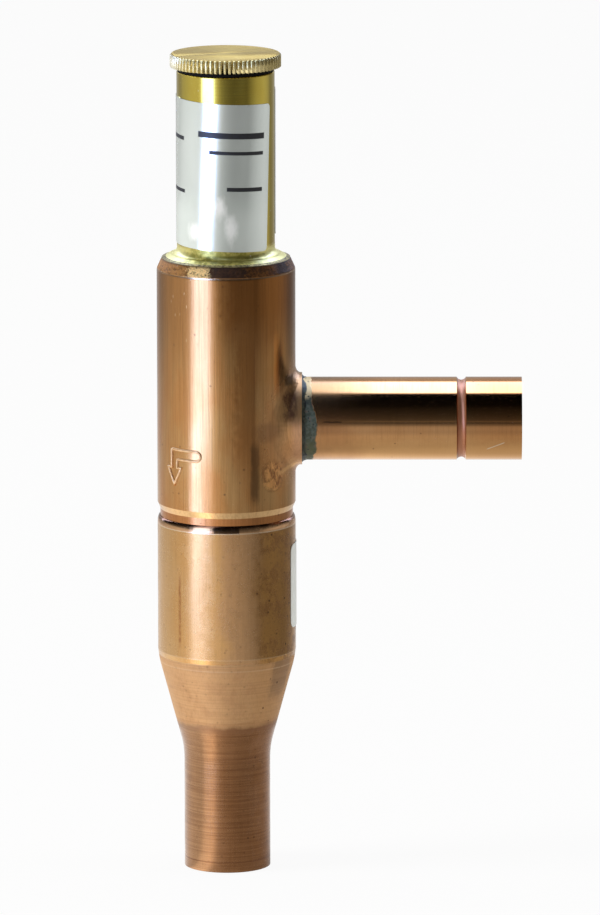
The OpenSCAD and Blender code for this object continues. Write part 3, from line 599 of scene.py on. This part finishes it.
def branch_finish():
    """Drawn copper tube, dulled by heat, with a flux stain next to the collar, and painted
    reflections: paler below, darker along the middle.
    """
    finish = Finish("copper_branch")
    x, y, z = finish.place()
    up = z - BRANCH_Z
    drawn = finish.grain((x * 5.0, y * 0.15, z * 0.15), 3.0, 0.6)
    clouds = finish.grain((x * 0.12, y * 0.12, z * 0.12), 3.0)
    mottle = finish.grain((x * 0.9, y * 0.9, z * 0.9), 4.0, 0.6)
    colour = finish.mix(finish.ease(clouds, 0.35, 0.65), (0.63, 0.32, 0.125), (0.66, 0.35, 0.145))
    redder = finish.ease(x + (clouds - 0.5) * 6, GROOVE_X - 1, GROOVE_X + 6)
    colour = finish.mix(redder * 0.6, colour, (0.55, 0.24, 0.08))
    # Heat from brazing dulls the tube next to the collar
    dull = 1 - finish.ease(x + (clouds - 0.5) * 14, 18, 34)
    colour = finish.mix(dull * 0.75, colour, (0.46, 0.215, 0.085))
    brushed = finish.ease(drawn, 0.45, 0.75) * 0.5
    colour = finish.mix(brushed, colour, (0.75, 0.72, 0.7), "MULTIPLY")
    # Painted reflection: paler towards the bottom of the tube
    low = 1 - finish.ease(up + (mottle - 0.5) * 2, -6.0, -1.8)
    colour = finish.mix(low * (1 - dull * 0.8) * 0.6, colour, (0.88, 0.49, 0.19))
    # Painted dark reflection: a darker band along the middle of the tube
    middle = finish.band(up, -0.5, 0.7, 1.4)
    colour = finish.mix(middle * 0.9, colour, (0.68, 0.68, 0.72), "MULTIPLY")
    top_dull = dull * finish.ease(up, 3, 6)
    colour = finish.mix(top_dull * 0.75, colour, (0.28, 0.15, 0.055))
    # The rolled groove is matt and redder, with a dark line at its left
    groove = finish.band(x, GROOVE_X, 0.75, 0.2)
    colour = finish.mix(groove * 0.85, colour, (0.46, 0.17, 0.085))
    colour = finish.mix(finish.band(x, GROOVE_X - 0.85, 0.08, 0.14) * 0.5, colour, DARK_BROWN)
    # Flux stain with an uneven edge: teal in the middle, olive below, nearly black at the lip
    edge = finish.grain((x * 0.3, y * 0.35, z * 0.35), 3.0, 0.6)
    shape = finish.band(up, -1.5, 2.5, 7.0) * 1.3
    stain = 1 - finish.ease(x - (edge - 0.5) * 1.8 - shape, 18.1, 18.5)
    top = finish.ease(up + (mottle - 0.5) * 3, 5.0, 6.5)
    patina = finish.mix(finish.ease(mottle, 0.36, 0.62), (0.05, 0.055, 0.03), (0.1, 0.125, 0.09))
    olive = 1 - finish.ease(up + (mottle - 0.5) * 4, -6.0, -2.0)
    patina = finish.mix(olive * 0.8, patina, (0.095, 0.1, 0.035))
    patina = finish.mix(finish.ease(mottle, 0.55, 0.66) * 0.5, patina, (0.2, 0.1, 0.05))
    black = finish.dots((x * 1.1, y * 1.1, z * 1.1), 0.26)
    patina = finish.mix(black * 0.85, patina, (0.01, 0.01, 0.008))
    patina = finish.mix((1 - finish.ease(x, COLLAR_X + 0.5, COLLAR_X + 1.2)) * 0.7, patina,
                        (0.015, 0.02, 0.015))
    silvery = finish.mix(black, (0.6, 0.43, 0.2), (0.03, 0.03, 0.02))
    patina = finish.mix(top, patina, silvery)
    colour = finish.mix(stain, colour, patina)
    # A short dark mark, a pale scratch and pits
    front = finish.ease(-y, 0, 1)
    mark = finish.band(x, 23.0, 1.6, 0.6)
    mark = mark * finish.band(up + (mottle - 0.5) * 0.3, 0.8, 0.08, 0.1)
    colour = finish.mix(mark * front * 0.8, colour, (0.03, 0.015, 0.01))
    scratch = finish.band(up + 4.8 - (x - 58.0) * 0.42, 0.0, 0.06, 0.1)
    scratch = scratch * finish.band(x, 58.3, 1.6, 0.5)
    colour = finish.mix(scratch * front * 0.6, colour, (0.95, 0.8, 0.62))
    pits = finish.dots((x * 0.3, y * 0.3, z * 0.3), 0.07)
    colour = finish.mix(pits * 0.6, colour, (0.2, 0.09, 0.04))
    rough = 0.1 + dull * 0.12 + stain * 0.35 + groove * 0.3 + (clouds - 0.5) * 0.05
    metal = 1 - stain * (0.75 - top * 0.6) - groove * 0.4
    height = drawn * 0.5 + stain * mottle * 6 + mottle * 0.25 + stain * black * -4
    normal = finish.relief(height, 0.01)
    return finish.finish(colour, rough, metal, 0.06, 0.2, normal)


# Brass, steel, braze and label finishes
BRASS = (0.63, 0.5, 0.09)
PALE_BRASS = (0.84, 0.7, 0.33)


def housing_finish():
    """Bright brass with a greener, blotched foot, and painted sheen on the foot's sides."""
    finish = Finish("brass_housing")
    x, y, z = finish.place()
    turn = finish.bearing(x, y)
    clouds = finish.grain((x * 0.2, y * 0.2, z * 0.12), 3.0)
    turned = finish.grain((x * 0.05, y * 0.05, z * 6.0), 3.0)
    mottle = finish.grain((x * 0.8, y * 0.8, z * 0.8), 4.0, 0.6)
    colour = finish.mix(finish.ease(clouds, 0.35, 0.65), BRASS, (0.6, 0.45, 0.07))
    # Greener and blotched at the foot, where it was heated, with painted sheen making its sides
    # paler
    foot = 1 - finish.ease(z, FOOT_Z, FOOT_Z + 1.4)
    heat_blotches_and_painted_sheen = finish.mix(finish.ease(mottle, 0.4, 0.6), (0.64, 0.54, 0.13), (0.36, 0.31, 0.05))
    # Painted sheen: the foot's sides paler
    painted_sheen_sides = finish.ease(abs(turn + 5), 30, 62)
    heat_blotches_and_painted_sheen = finish.mix(painted_sheen_sides * 0.8, heat_blotches_and_painted_sheen, (0.97, 0.88, 0.36))
    colour = finish.mix(foot, colour, heat_blotches_and_painted_sheen)
    dark = finish.band(z + (mottle - 0.5) * 0.8, FOOT_Z - 1.3, 0.4, 0.5)
    dark = dark * finish.band(turn + (mottle - 0.5) * 60, 12, 26, 14)
    colour = finish.mix(dark * 0.6, colour, (0.09, 0.085, 0.015))
    spots = finish.dots((x * 0.4, y * 0.4, z * 0.4), 0.09)
    colour = finish.mix(spots * 0.5, colour, (0.85, 0.8, 0.6))
    rough = 0.12 + foot * 0.26 + (clouds - 0.5) * 0.05
    normal = finish.relief(turned * 0.6 + foot * mottle * 3, 0.006)
    return finish.finish(colour, rough, 1 - foot * 0.4, 0.2, 0.12, normal)


def cap_finish():
    """Brass with painted sheen rays on the turned face, and a paler knurl with a painted highlight
    on its left and painted shade on its right.
    """
    finish = Finish("brass_cap")
    x, y, z = finish.place()
    turn = finish.bearing(x, y)
    reach = (x * x + y * y) ** 0.5
    rings = finish.grain((reach * 5.0, 0.0, 0.0), 3.0)
    clouds = finish.grain((x * 0.3, y * 0.3, z * 0.3), 3.0)
    grit = finish.grain((x * 3.0, y * 3.0, z * 3.0), 2.0)
    # Painted sheen of a turned face: soft pale rays and darker ones between them
    painted_sheen_rays = finish.node("Math", {"operation": "COSINE"}, {0: (turn + 15) * (math.pi / 90)})
    painted_sheen_rays = painted_sheen_rays * 0.5 + 0.5
    face = finish.ease(z, TOP_Z - 0.12, TOP_Z - 0.03)
    flat = finish.mix(painted_sheen_rays, (0.37, 0.235, 0.042), (0.53, 0.355, 0.075))
    # Painted sheen: paler at the centre of the face
    flat = finish.mix((1 - finish.ease(reach, 0.4, 5.0)) * 0.4, flat, (0.66, 0.46, 0.12))
    flat = finish.mix(finish.ease(rings, 0.4, 0.7) * 0.3, flat, (0.33, 0.22, 0.03))
    # Painted shade on the right of the knurl
    rim = finish.mix(finish.band(turn, 80, 22, 32) * 0.7, PALE_BRASS, (0.36, 0.27, 0.08))
    # Painted highlight on the left of the knurl
    rim = finish.mix(finish.band(turn, -85, 15, 22), rim, (1.0, 0.95, 0.75))
    colour = finish.mix(face, rim, flat)
    colour = finish.mix(finish.ease(clouds, 0.4, 0.7) * 0.2, colour, (0.5, 0.36, 0.1))
    rough = 0.27 + face * 0.2 + (grit - 0.5) * 0.08
    normal = finish.relief(rings * 0.2 + grit * 0.4, 0.006)
    return finish.finish(colour, rough, 0.6 + face * 0.15, 0.0, 0.15, normal)


def turned_metal(name, colour, worn, rough):
    """Finish of a turned inner piece: fine rings round the valve axis over a mild cloud."""
    finish = Finish(name)
    x, y, z = finish.place()
    reach = (x * x + y * y) ** 0.5
    rings = finish.grain((reach * 4.0, 0.0, z * 4.0), 3.0)
    clouds = finish.grain((x * 0.3, y * 0.3, z * 0.3), 3.0)
    shade = finish.mix(finish.ease(clouds, 0.4, 0.7), colour, worn)
    shade = finish.mix(finish.ease(rings, 0.4, 0.7) * 0.25, shade, worn)
    return finish.finish(shade, rough + (rings - 0.5) * 0.12, 1.0, 0.0, 0.2,
                         finish.relief(rings, 0.006))


def sheet_metal(name, colour, worn, rough, grain):
    """Finish of a pressed or drawn inner piece, brushed along X or mottled by its grain."""
    finish = Finish(name)
    x, y, z = finish.place()
    lines = finish.grain((x * grain[0], y * grain[1], z * grain[2]), 3.0)
    clouds = finish.grain((x * 0.4, y * 0.4, z * 0.4), 3.0)
    shade = finish.mix(finish.ease(clouds, 0.35, 0.7), colour, worn)
    return finish.finish(shade, rough + (lines - 0.5) * 0.15, 1.0, 0.0, 0.2,
                         finish.relief(lines, 0.008))


def braze_finish(name, clean, stained, rough, metal):
    """Finish of metal that has run and set, in two mottled colours."""
    finish = Finish(name)
    x, y, z = finish.place()
    mottle = finish.grain((x * 1.3, y * 1.3, z * 1.3), 4.0, 0.65)
    colour = finish.mix(finish.ease(mottle, 0.4, 0.62), clean, stained)
    return finish.finish(colour, rough + (mottle - 0.5) * 0.2, metal, 0.0, 0.2,
                         finish.relief(mottle, 0.06))


def soft_finish(name, colour, worn, rough, gloss=0.5):
    """Finish of rubber and polymer pieces."""
    finish = Finish(name)
    finish.shader.inputs["Specular IOR Level"].default_value = gloss
    x, y, z = finish.place()
    grit = finish.grain((x * 5.0, y * 5.0, z * 5.0), 3.0)
    shade = finish.mix(finish.ease(grit, 0.4, 0.7), colour, worn)
    return finish.finish(shade, rough, 0.0, 0.0, 0.2, finish.relief(grit, 0.01))


# Plain bars on the housing's label: left, right, low and high, in millimetres from its lower
# right corner, where left and right count leftwards as negative
LABEL_BARS = [(-17.6, -2.0, 24.6, 25.8), (-14.8, -2.2, 21.1, 21.8), (-10.6, -2.2, 13.2, 14.0),
              (-30.0, -22.0, 23.2, 24.0), (-32.0, -21.2, 11.8, 12.5)]
# Painted highlights on it, pale patches for the film's gloss: their centre and half size, counted
# the same way
LABEL_PAINTED_HIGHLIGHTS = [(-17.8, 3.8, 2.2, 2.2), (-9.3, 4.6, 1.6, 3.4), (-12.0, 9.4, 1.7, 3.2)]


def film_finish():
    """Satin white film with plain bars and painted highlights, placed in millimetres by the film's
    own UV map.
    """
    finish = Finish("label_film")
    flat = finish.node("UVMap", {"uv_map": "flat"})
    u, v, _ = finish.outputs(finish.node("SeparateXYZ", inputs={0: flat}), 3)
    clouds = finish.grain((u * 0.12, v * 0.05, 0.0), 2.0)
    wrinkle = finish.grain((u * 0.5, v * 0.22, 3.0), 3.0)
    colour = finish.mix(finish.ease(clouds, 0.3, 0.7), (0.78, 0.825, 0.78),
                        (0.735, 0.785, 0.735))
    # Painted highlights: pale, less metallic patches for the film's gloss reflections
    painted_highlight = 0.0
    for at_u, at_v, half_u, half_v in LABEL_PAINTED_HIGHLIGHTS:
        reach = (((u - at_u) / half_u) ** 2.0 + ((v - at_v) / half_v) ** 2.0) ** 0.5
        painted_highlight = (1 - finish.ease(reach + (wrinkle - 0.5) * 1.4, 0.2, 1.25)) + painted_highlight
    colour = finish.mix(painted_highlight, colour, (0.97, 0.98, 0.96))
    ink = 0.0
    for left, right, low, high in LABEL_BARS:
        across = finish.band(u, (left + right) / 2, (right - left) / 2, 0.12)
        ink = across * finish.band(v, (low + high) / 2, (high - low) / 2, 0.1) + ink
    colour = finish.mix(ink, colour, (0.02, 0.02, 0.022))
    low_end = 1 - finish.ease(v, 6.0, 14.0)
    metal = (0.62 - low_end * 0.3) * (1 - ink) * (1 - painted_highlight * 0.95)
    normal = finish.relief(clouds * 0.05 + wrinkle * low_end * 0.03 + painted_highlight * 0.03, 1.0)
    return finish.finish(colour, ink * 0.3 + 0.14, metal, (1 - ink) * 0.25, 0.1, normal)


def paper_finish():
    """Blank paper with fine fibres."""
    finish = Finish("label_paper")
    x, y, z = finish.place()
    fibre = finish.grain((x * 3.0, y * 3.0, z * 3.0), 3.0)
    clouds = finish.grain((x * 0.2, y * 0.2, z * 0.2), 2.0)
    colour = finish.mix(clouds, (0.74, 0.76, 0.7), (0.8, 0.81, 0.76))
    colour = finish.mix(finish.ease(fibre, 0.5, 0.8) * 0.3, colour, (0.62, 0.63, 0.58))
    return finish.finish(colour, 0.5, 0.0, 0.15, 0.3, finish.relief(fibre, 0.01))


# Pieces

# Edges above this angle stay sharp, and points nearer than this in millimetres are one
SHARP_ANGLE = math.radians(35)
MERGE_GAP = 0.0005

# Flow arrow, as on the solid: its bearing from +X, its place below the branch axis and its outline
ARROW_ANGLE = 234
ARROW_DROP = 4.9
ARROW_BAR, ARROW_BAR_H = 7.7, 2.1
ARROW_H, ARROW_LEG_R = 7.6, 0.85
ARROW_HEAD_R, ARROW_HEAD_H = 1.95, 3.6
ARROW_END_STEPS = 8
ARROW_BEAD_R = 0.3
ARROW_BEAD_STEP = 0.4

# Labels in millimetres and degrees. Each starts at the bearing of its right edge, and the film
# leaves a gap and leans a little.
FILM_TURN, FILM_GAP, FILM_TILT = 55.5, 25, 2.5
FILM_LOW, FILM_H, FILM_CORNER = 136.9, 32.0, 1.0
STICKER_TURN, STICKER_SPAN, STICKER_CORNER = 163, 96, 1.6
LABEL_THICK, LABEL_OUTER, LABEL_STRIP = 0.14, 0.15, 3

# Threads of the cap's stem and of the setting screw. The half widths of the ridge's foot and
# crest are shares of the pitch, and the foot is sunk a little into the core.
THREAD_PITCH, THREAD_DEPTH, THREAD_SINK = 1.0, 0.5, 0.05
FOOT_SHARE, CREST_SHARE, TURN_STEPS = 0.46, 0.08, 48
# Plain length under the cap's head
STEM_PLAIN = 0.8

# Main spring: its wire in millimetres, its turns and the turn where its two lengths meet
SPRING_WIRE, SPRING_TURNS, SPRING_SPLIT = 1.7, 7, 2


def add_piece(name, shape, material, body, node):
    """Makes an object of a bmesh in millimetres, which rides a body and takes a node's place."""
    bmesh.ops.scale(shape, vec=(MM, MM, MM), verts=shape.verts)
    mesh = bpy.data.meshes.new(name)
    shape.to_mesh(mesh)
    shape.free()
    mesh.materials.append(material)
    mesh.shade_smooth()
    mesh.set_sharp_from_angle(angle=SHARP_ANGLE)
    piece = bpy.data.objects.new(name, mesh)
    scene.collection.objects.link(piece)
    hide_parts(node)
    if body:
        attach(piece, body)
    return piece


def copy_node(node):
    """A merged copy of a CAD node's mesh, in millimetres."""
    shape = bmesh.new()
    shape.from_mesh(frame["nodes"][node].data)
    bmesh.ops.scale(shape, vec=(1 / MM,) * 3, verts=shape.verts)
    bmesh.ops.remove_doubles(shape, verts=shape.verts, dist=MERGE_GAP)
    return shape


def bent_film(radius, right_turn, low, width, height, corner, tilt=0.0):
    """A sheet with round corners, cut into strips and bent round the valve axis."""
    shape = bmesh.new()
    bmesh.ops.create_grid(shape, x_segments=1, y_segments=1, size=0.5)
    bmesh.ops.scale(shape, vec=(width, height, 1), verts=shape.verts)
    bmesh.ops.bevel(shape, geom=shape.verts[:], offset=corner, affect="VERTICES", segments=6,
                    profile=0.5, material=-1)
    bmesh.ops.translate(shape, vec=(-width / 2, height / 2, 0), verts=shape.verts)
    flat = shape.loops.layers.uv.new("flat")
    strip = math.radians(LABEL_STRIP) * radius
    for k in range(1, int(width / strip)):
        everything = shape.verts[:] + shape.edges[:] + shape.faces[:]
        bmesh.ops.bisect_plane(shape, geom=everything, plane_co=(-k * strip, 0, 0),
                               plane_no=(1, 0, 0))
    for face in shape.faces:
        for loop in face.loops:
            loop[flat].uv = loop.vert.co.xy
    lean = Matrix.Rotation(-math.radians(tilt), 3, "Z")
    bmesh.ops.rotate(shape, matrix=lean, verts=shape.verts)
    for vert in shape.verts:
        turn = math.radians(right_turn) + vert.co.x / radius
        vert.co = Vector((math.sin(turn) * radius, -math.cos(turn) * radius, low + vert.co.y))
    bmesh.ops.recalc_face_normals(shape, faces=shape.faces)
    if shape.faces[0].normal.dot(shape.faces[0].calc_center_median() * Vector((1, 1, 0))) < 0:
        bmesh.ops.reverse_faces(shape, faces=shape.faces)
    bmesh.ops.solidify(shape, geom=shape.faces[:], thickness=LABEL_THICK)
    return shape


def add_labels():
    """The film round the housing and the sticker on the lower shell."""
    wrap = math.radians(360 - FILM_GAP) * HOUSING_R
    film = bent_film(HOUSING_R + LABEL_OUTER, FILM_TURN, FILM_LOW, wrap, FILM_H, FILM_CORNER,
                     FILM_TILT)
    add_piece("housing_film", film, film_finish(), "body", "housing_label")
    low, high = heights("body_label")
    width = math.radians(STICKER_SPAN) * BODY_R
    paper = bent_film(BODY_R + LABEL_OUTER, STICKER_TURN, low, width, high - low, STICKER_CORNER)
    add_piece("body_sticker", paper, paper_finish(), "body", "body_label")


def add_ridge(shape, minor, major, low, high):
    """Adds a helical ridge with a blunt crest round the valve axis."""
    foot = THREAD_PITCH * FOOT_SHARE
    crest = THREAD_PITCH * CREST_SHARE
    turns = (high - low - THREAD_PITCH) / THREAD_PITCH
    steps = int(turns * TURN_STEPS)
    sunk = minor - THREAD_SINK
    corners = [(sunk, -foot), (major, -crest), (major, crest), (sunk, foot)]
    section = [shape.verts.new((r, 0, low + THREAD_PITCH / 2 + dz)) for r, dz in corners]
    start = shape.faces.new(section)
    bmesh.ops.spin(shape, geom=[start], cent=(0, 0, 0), axis=(0, 0, 1),
                   dvec=(0, 0, turns * THREAD_PITCH / steps), angle=turns * 2 * math.pi,
                   steps=steps)
    bmesh.ops.recalc_face_normals(shape, faces=shape.faces)


def threaded_copy(node, low, high):
    """A copy of a turned node whose plain thread length is cut down to a core with a ridge."""
    shape = copy_node(node)
    major = max(v.co.xy.length for v in shape.verts if low <= v.co.z <= high)
    minor = major - THREAD_DEPTH
    for vert in shape.verts:
        reach = vert.co.xy.length
        if low - 1 <= vert.co.z <= high + 1 and reach > minor:
            vert.co.x *= minor / reach
            vert.co.y *= minor / reach
    add_ridge(shape, minor, major, low, high)
    return shape


def add_threads(brass):
    """The cap and the setting screw, each with a thread in place of its plain length."""
    cap = threaded_copy("protective_cap", heights("protective_cap")[0], CAP_Z - STEM_PLAIN)
    add_piece("knurled_cap", cap, cap_finish(), "cap", "protective_cap")
    low, high = heights("upper_spring_plate")[1], heights("setting_screw")[1]
    screw = threaded_copy("setting_screw", low, high)
    add_piece("threaded_screw", screw, brass, "setting_screw", "setting_screw")


def add_branch_braze():
    """Braze fillet in the collar's mouth, of uneven width."""
    shape = bmesh.new()
    profile = [(-0.3, 0.0), (-0.3, 0.6), (0.02, 0.5), (0.2, 0.3), (0.45, 0.12), (0.8, 0.03),
               (1.0, -0.1)]
    verts = [shape.verts.new((COLLAR_X + dx, 0, TUBE_R + dr)) for dx, dr in profile]
    edges = [shape.edges.new(pair) for pair in zip(verts, verts[1:])]
    bmesh.ops.spin(shape, geom=verts + edges, cent=(0, 0, 0), axis=(1, 0, 0), angle=2 * math.pi,
                   steps=120, use_merge=True)
    for vert in shape.verts:
        spot = Vector((0, vert.co.y, vert.co.z)) * 0.35
        swell = 0.8 + 0.9 * noise.noise(spot) + 0.3 * noise.noise(spot * 4)
        ripple = 1 + 0.012 * noise.noise(Vector((vert.co.x * 3, vert.co.y, vert.co.z)))
        if vert.co.x > COLLAR_X:
            vert.co.x = COLLAR_X + (vert.co.x - COLLAR_X) * max(swell, 0.25)
            vert.co.y *= ripple
            vert.co.z *= ripple
    bmesh.ops.translate(shape, vec=(0, 0, BRANCH_Z), verts=shape.verts)
    bmesh.ops.recalc_face_normals(shape, faces=shape.faces)
    finish = braze_finish("braze_stained", (0.012, 0.014, 0.01), (0.07, 0.075, 0.05), 0.5, 0.3)
    add_piece("branch_braze", shape, finish, "body", "branch_braze_ring")


def add_coil(name, wire, upper, joint):
    """The coil on one side of the turn where its lengths meet."""
    low, high = heights("main_spring")
    # Each closed end turn rises by one wire, and the turns between them rise evenly
    rise = (high - low - 3 * SPRING_WIRE) / (SPRING_TURNS - 2)
    middle = low + 1.5 * SPRING_WIRE + (SPRING_SPLIT - 1) * rise
    shape = copy_node("main_spring")
    crease = shape.edges.layers.float.new("crease_edge")
    cut = []
    for face in shape.faces:
        spot = face.calc_center_median()
        turn = math.atan2(spot.y, spot.x) / (2 * math.pi) % 1
        turn += round(SPRING_SPLIT + (spot.z - middle) / rise - turn)
        if (turn > SPRING_SPLIT) != upper:
            cut.append(face)
    bmesh.ops.delete(shape, geom=cut, context="FACES")
    # A flat end, kept sharp when the wire is rounded
    ends = [edge for edge in shape.edges if edge.is_boundary]
    bmesh.ops.holes_fill(shape, edges=ends)
    for edge in ends:
        edge[crease] = 1
    coil = add_piece(name, shape, wire, "body", "main_spring")
    smooth = coil.modifiers.new("round wire", "SUBSURF")
    smooth.levels = smooth.render_levels = 1
    length = high - middle if upper else middle - low
    middle * MM
    1 - joint_limit(joint) / length
    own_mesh(coil)


def add_spring_and_bellows():
    """The two lengths of the coil, and the bellows from the body to the valve."""
    wire = sheet_metal("spring_wire", (0.34, 0.34, 0.35), (0.22, 0.21, 0.21), 0.32, (2, 2, 2))
    add_coil("spring_coil_lower", wire, False, "valve_travel")
    add_coil("spring_coil_upper", wire, True, "setting_slide")
    bronze = sheet_metal("bellows_bronze", (0.55, 0.36, 0.16), (0.4, 0.25, 0.1), 0.3,
                         (0.3, 0.3, 4))
    bellows = add_piece("bellows_folds", copy_node("bellows"), bronze, None, "bellows")
    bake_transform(bellows)


def arrow_outline():
    """Corners of the flow arrow, across and up, from the middle of its top edge."""
    left = -ARROW_BAR / 2
    leg = left + ARROW_LEG_R
    head = ARROW_HEAD_H - ARROW_H
    end_r = ARROW_BAR_H / 2
    corners = [(leg + ARROW_LEG_R, -ARROW_BAR_H), (leg + ARROW_LEG_R, head),
               (leg + ARROW_HEAD_R, head), (leg, -ARROW_H), (leg - ARROW_HEAD_R, head),
               (left, head), (left, 0)]
    for k in range(ARROW_END_STEPS + 1):
        turn = math.pi / 2 - k * math.pi / ARROW_END_STEPS
        corners.append((-left - end_r + end_r * math.cos(turn), end_r * math.sin(turn) - end_r))
    return corners


def add_arrow_bead():
    """Rounds the embossed arrow with a bead along its line."""
    data = bpy.data.curves.new("arrow_bead", "CURVE")
    data.dimensions = "3D"
    data.bevel_depth = ARROW_BEAD_R * MM
    data.bevel_resolution = 3
    corners = [Vector(p) for p in arrow_outline()]
    path = []
    for a, b in zip(corners, corners[1:] + corners[:1]):
        steps = max(1, round((b - a).length / ARROW_BEAD_STEP))
        path += [a.lerp(b, k / steps) for k in range(steps)]
    spline = data.splines.new("POLY")
    spline.points.add(len(path) - 1)
    spline.use_cyclic_u = True
    facing = Matrix.Rotation(math.radians(ARROW_ANGLE), 3, "Z")
    for point, (across, up) in zip(spline.points, path):
        out = math.sqrt(BODY_R ** 2 - across ** 2)
        spot = facing @ Vector((out, across, 0)) + Vector((0, 0, BRANCH_Z - ARROW_DROP + up))
        point.co = (*(spot * MM), 1.0)
    data.materials.append(
        braze_finish("copper_arrow", (0.86, 0.56, 0.3), (0.72, 0.42, 0.19), 0.42, 0.55))
    bead = bpy.data.objects.new("arrow_bead", data)
    scene.collection.objects.link(bead)
    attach(bead, "body")


def dress_nodes(brass):
    """Gives each node that stays its own finish."""
    steel = turned_metal("turned_steel", (0.5, 0.5, 0.5), (0.36, 0.36, 0.37), 0.24)
    sheet = sheet_metal("sheet_steel", (0.46, 0.46, 0.47), (0.33, 0.33, 0.34), 0.34, (3, 0.2, 3))
    finishes = {
        "upper_shell": upper_shell_finish(),
        "lower_shell": lower_shell_finish(),
        "branch_tube": branch_finish(),
        "spring_housing": housing_finish(),
        "housing_braze_ring": braze_finish("braze", (0.37, 0.285, 0.11), (0.1, 0.08, 0.03), 0.42,
                                           0.75),
        "valve_seal": soft_finish("seal_polymer", (0.8, 0.78, 0.7), (0.7, 0.68, 0.6), 0.4),
        "cap_gasket": soft_finish("gasket_rubber", (0.004, 0.0035, 0.003), (0.008, 0.006, 0.004),
                                  0.7, 0.1),
    }
    for node in ("seat_ring", "bellows_end_cap", "valve_plate", "damper_piston", "damper_cylinder"):
        finishes[node] = brass
    for node in ("spindle", "spindle_top_nut", "valve_plate_nut", "lower_spring_plate",
                 "upper_spring_plate"):
        finishes[node] = steel
    for node in ("damper_bracket", "damper_cover", "damper_rivets"):
        finishes[node] = sheet
    for node, material in finishes.items():
        slots = frame["nodes"][node].data.materials
        slots.clear()
        slots.append(material)


turned_brass = turned_metal("turned_brass", (0.62, 0.47, 0.12), (0.5, 0.36, 0.08), 0.25)
dress_nodes(turned_brass)
add_arrow_bead()
add_labels()
add_threads(turned_brass)
add_branch_braze()
add_spring_and_bellows()
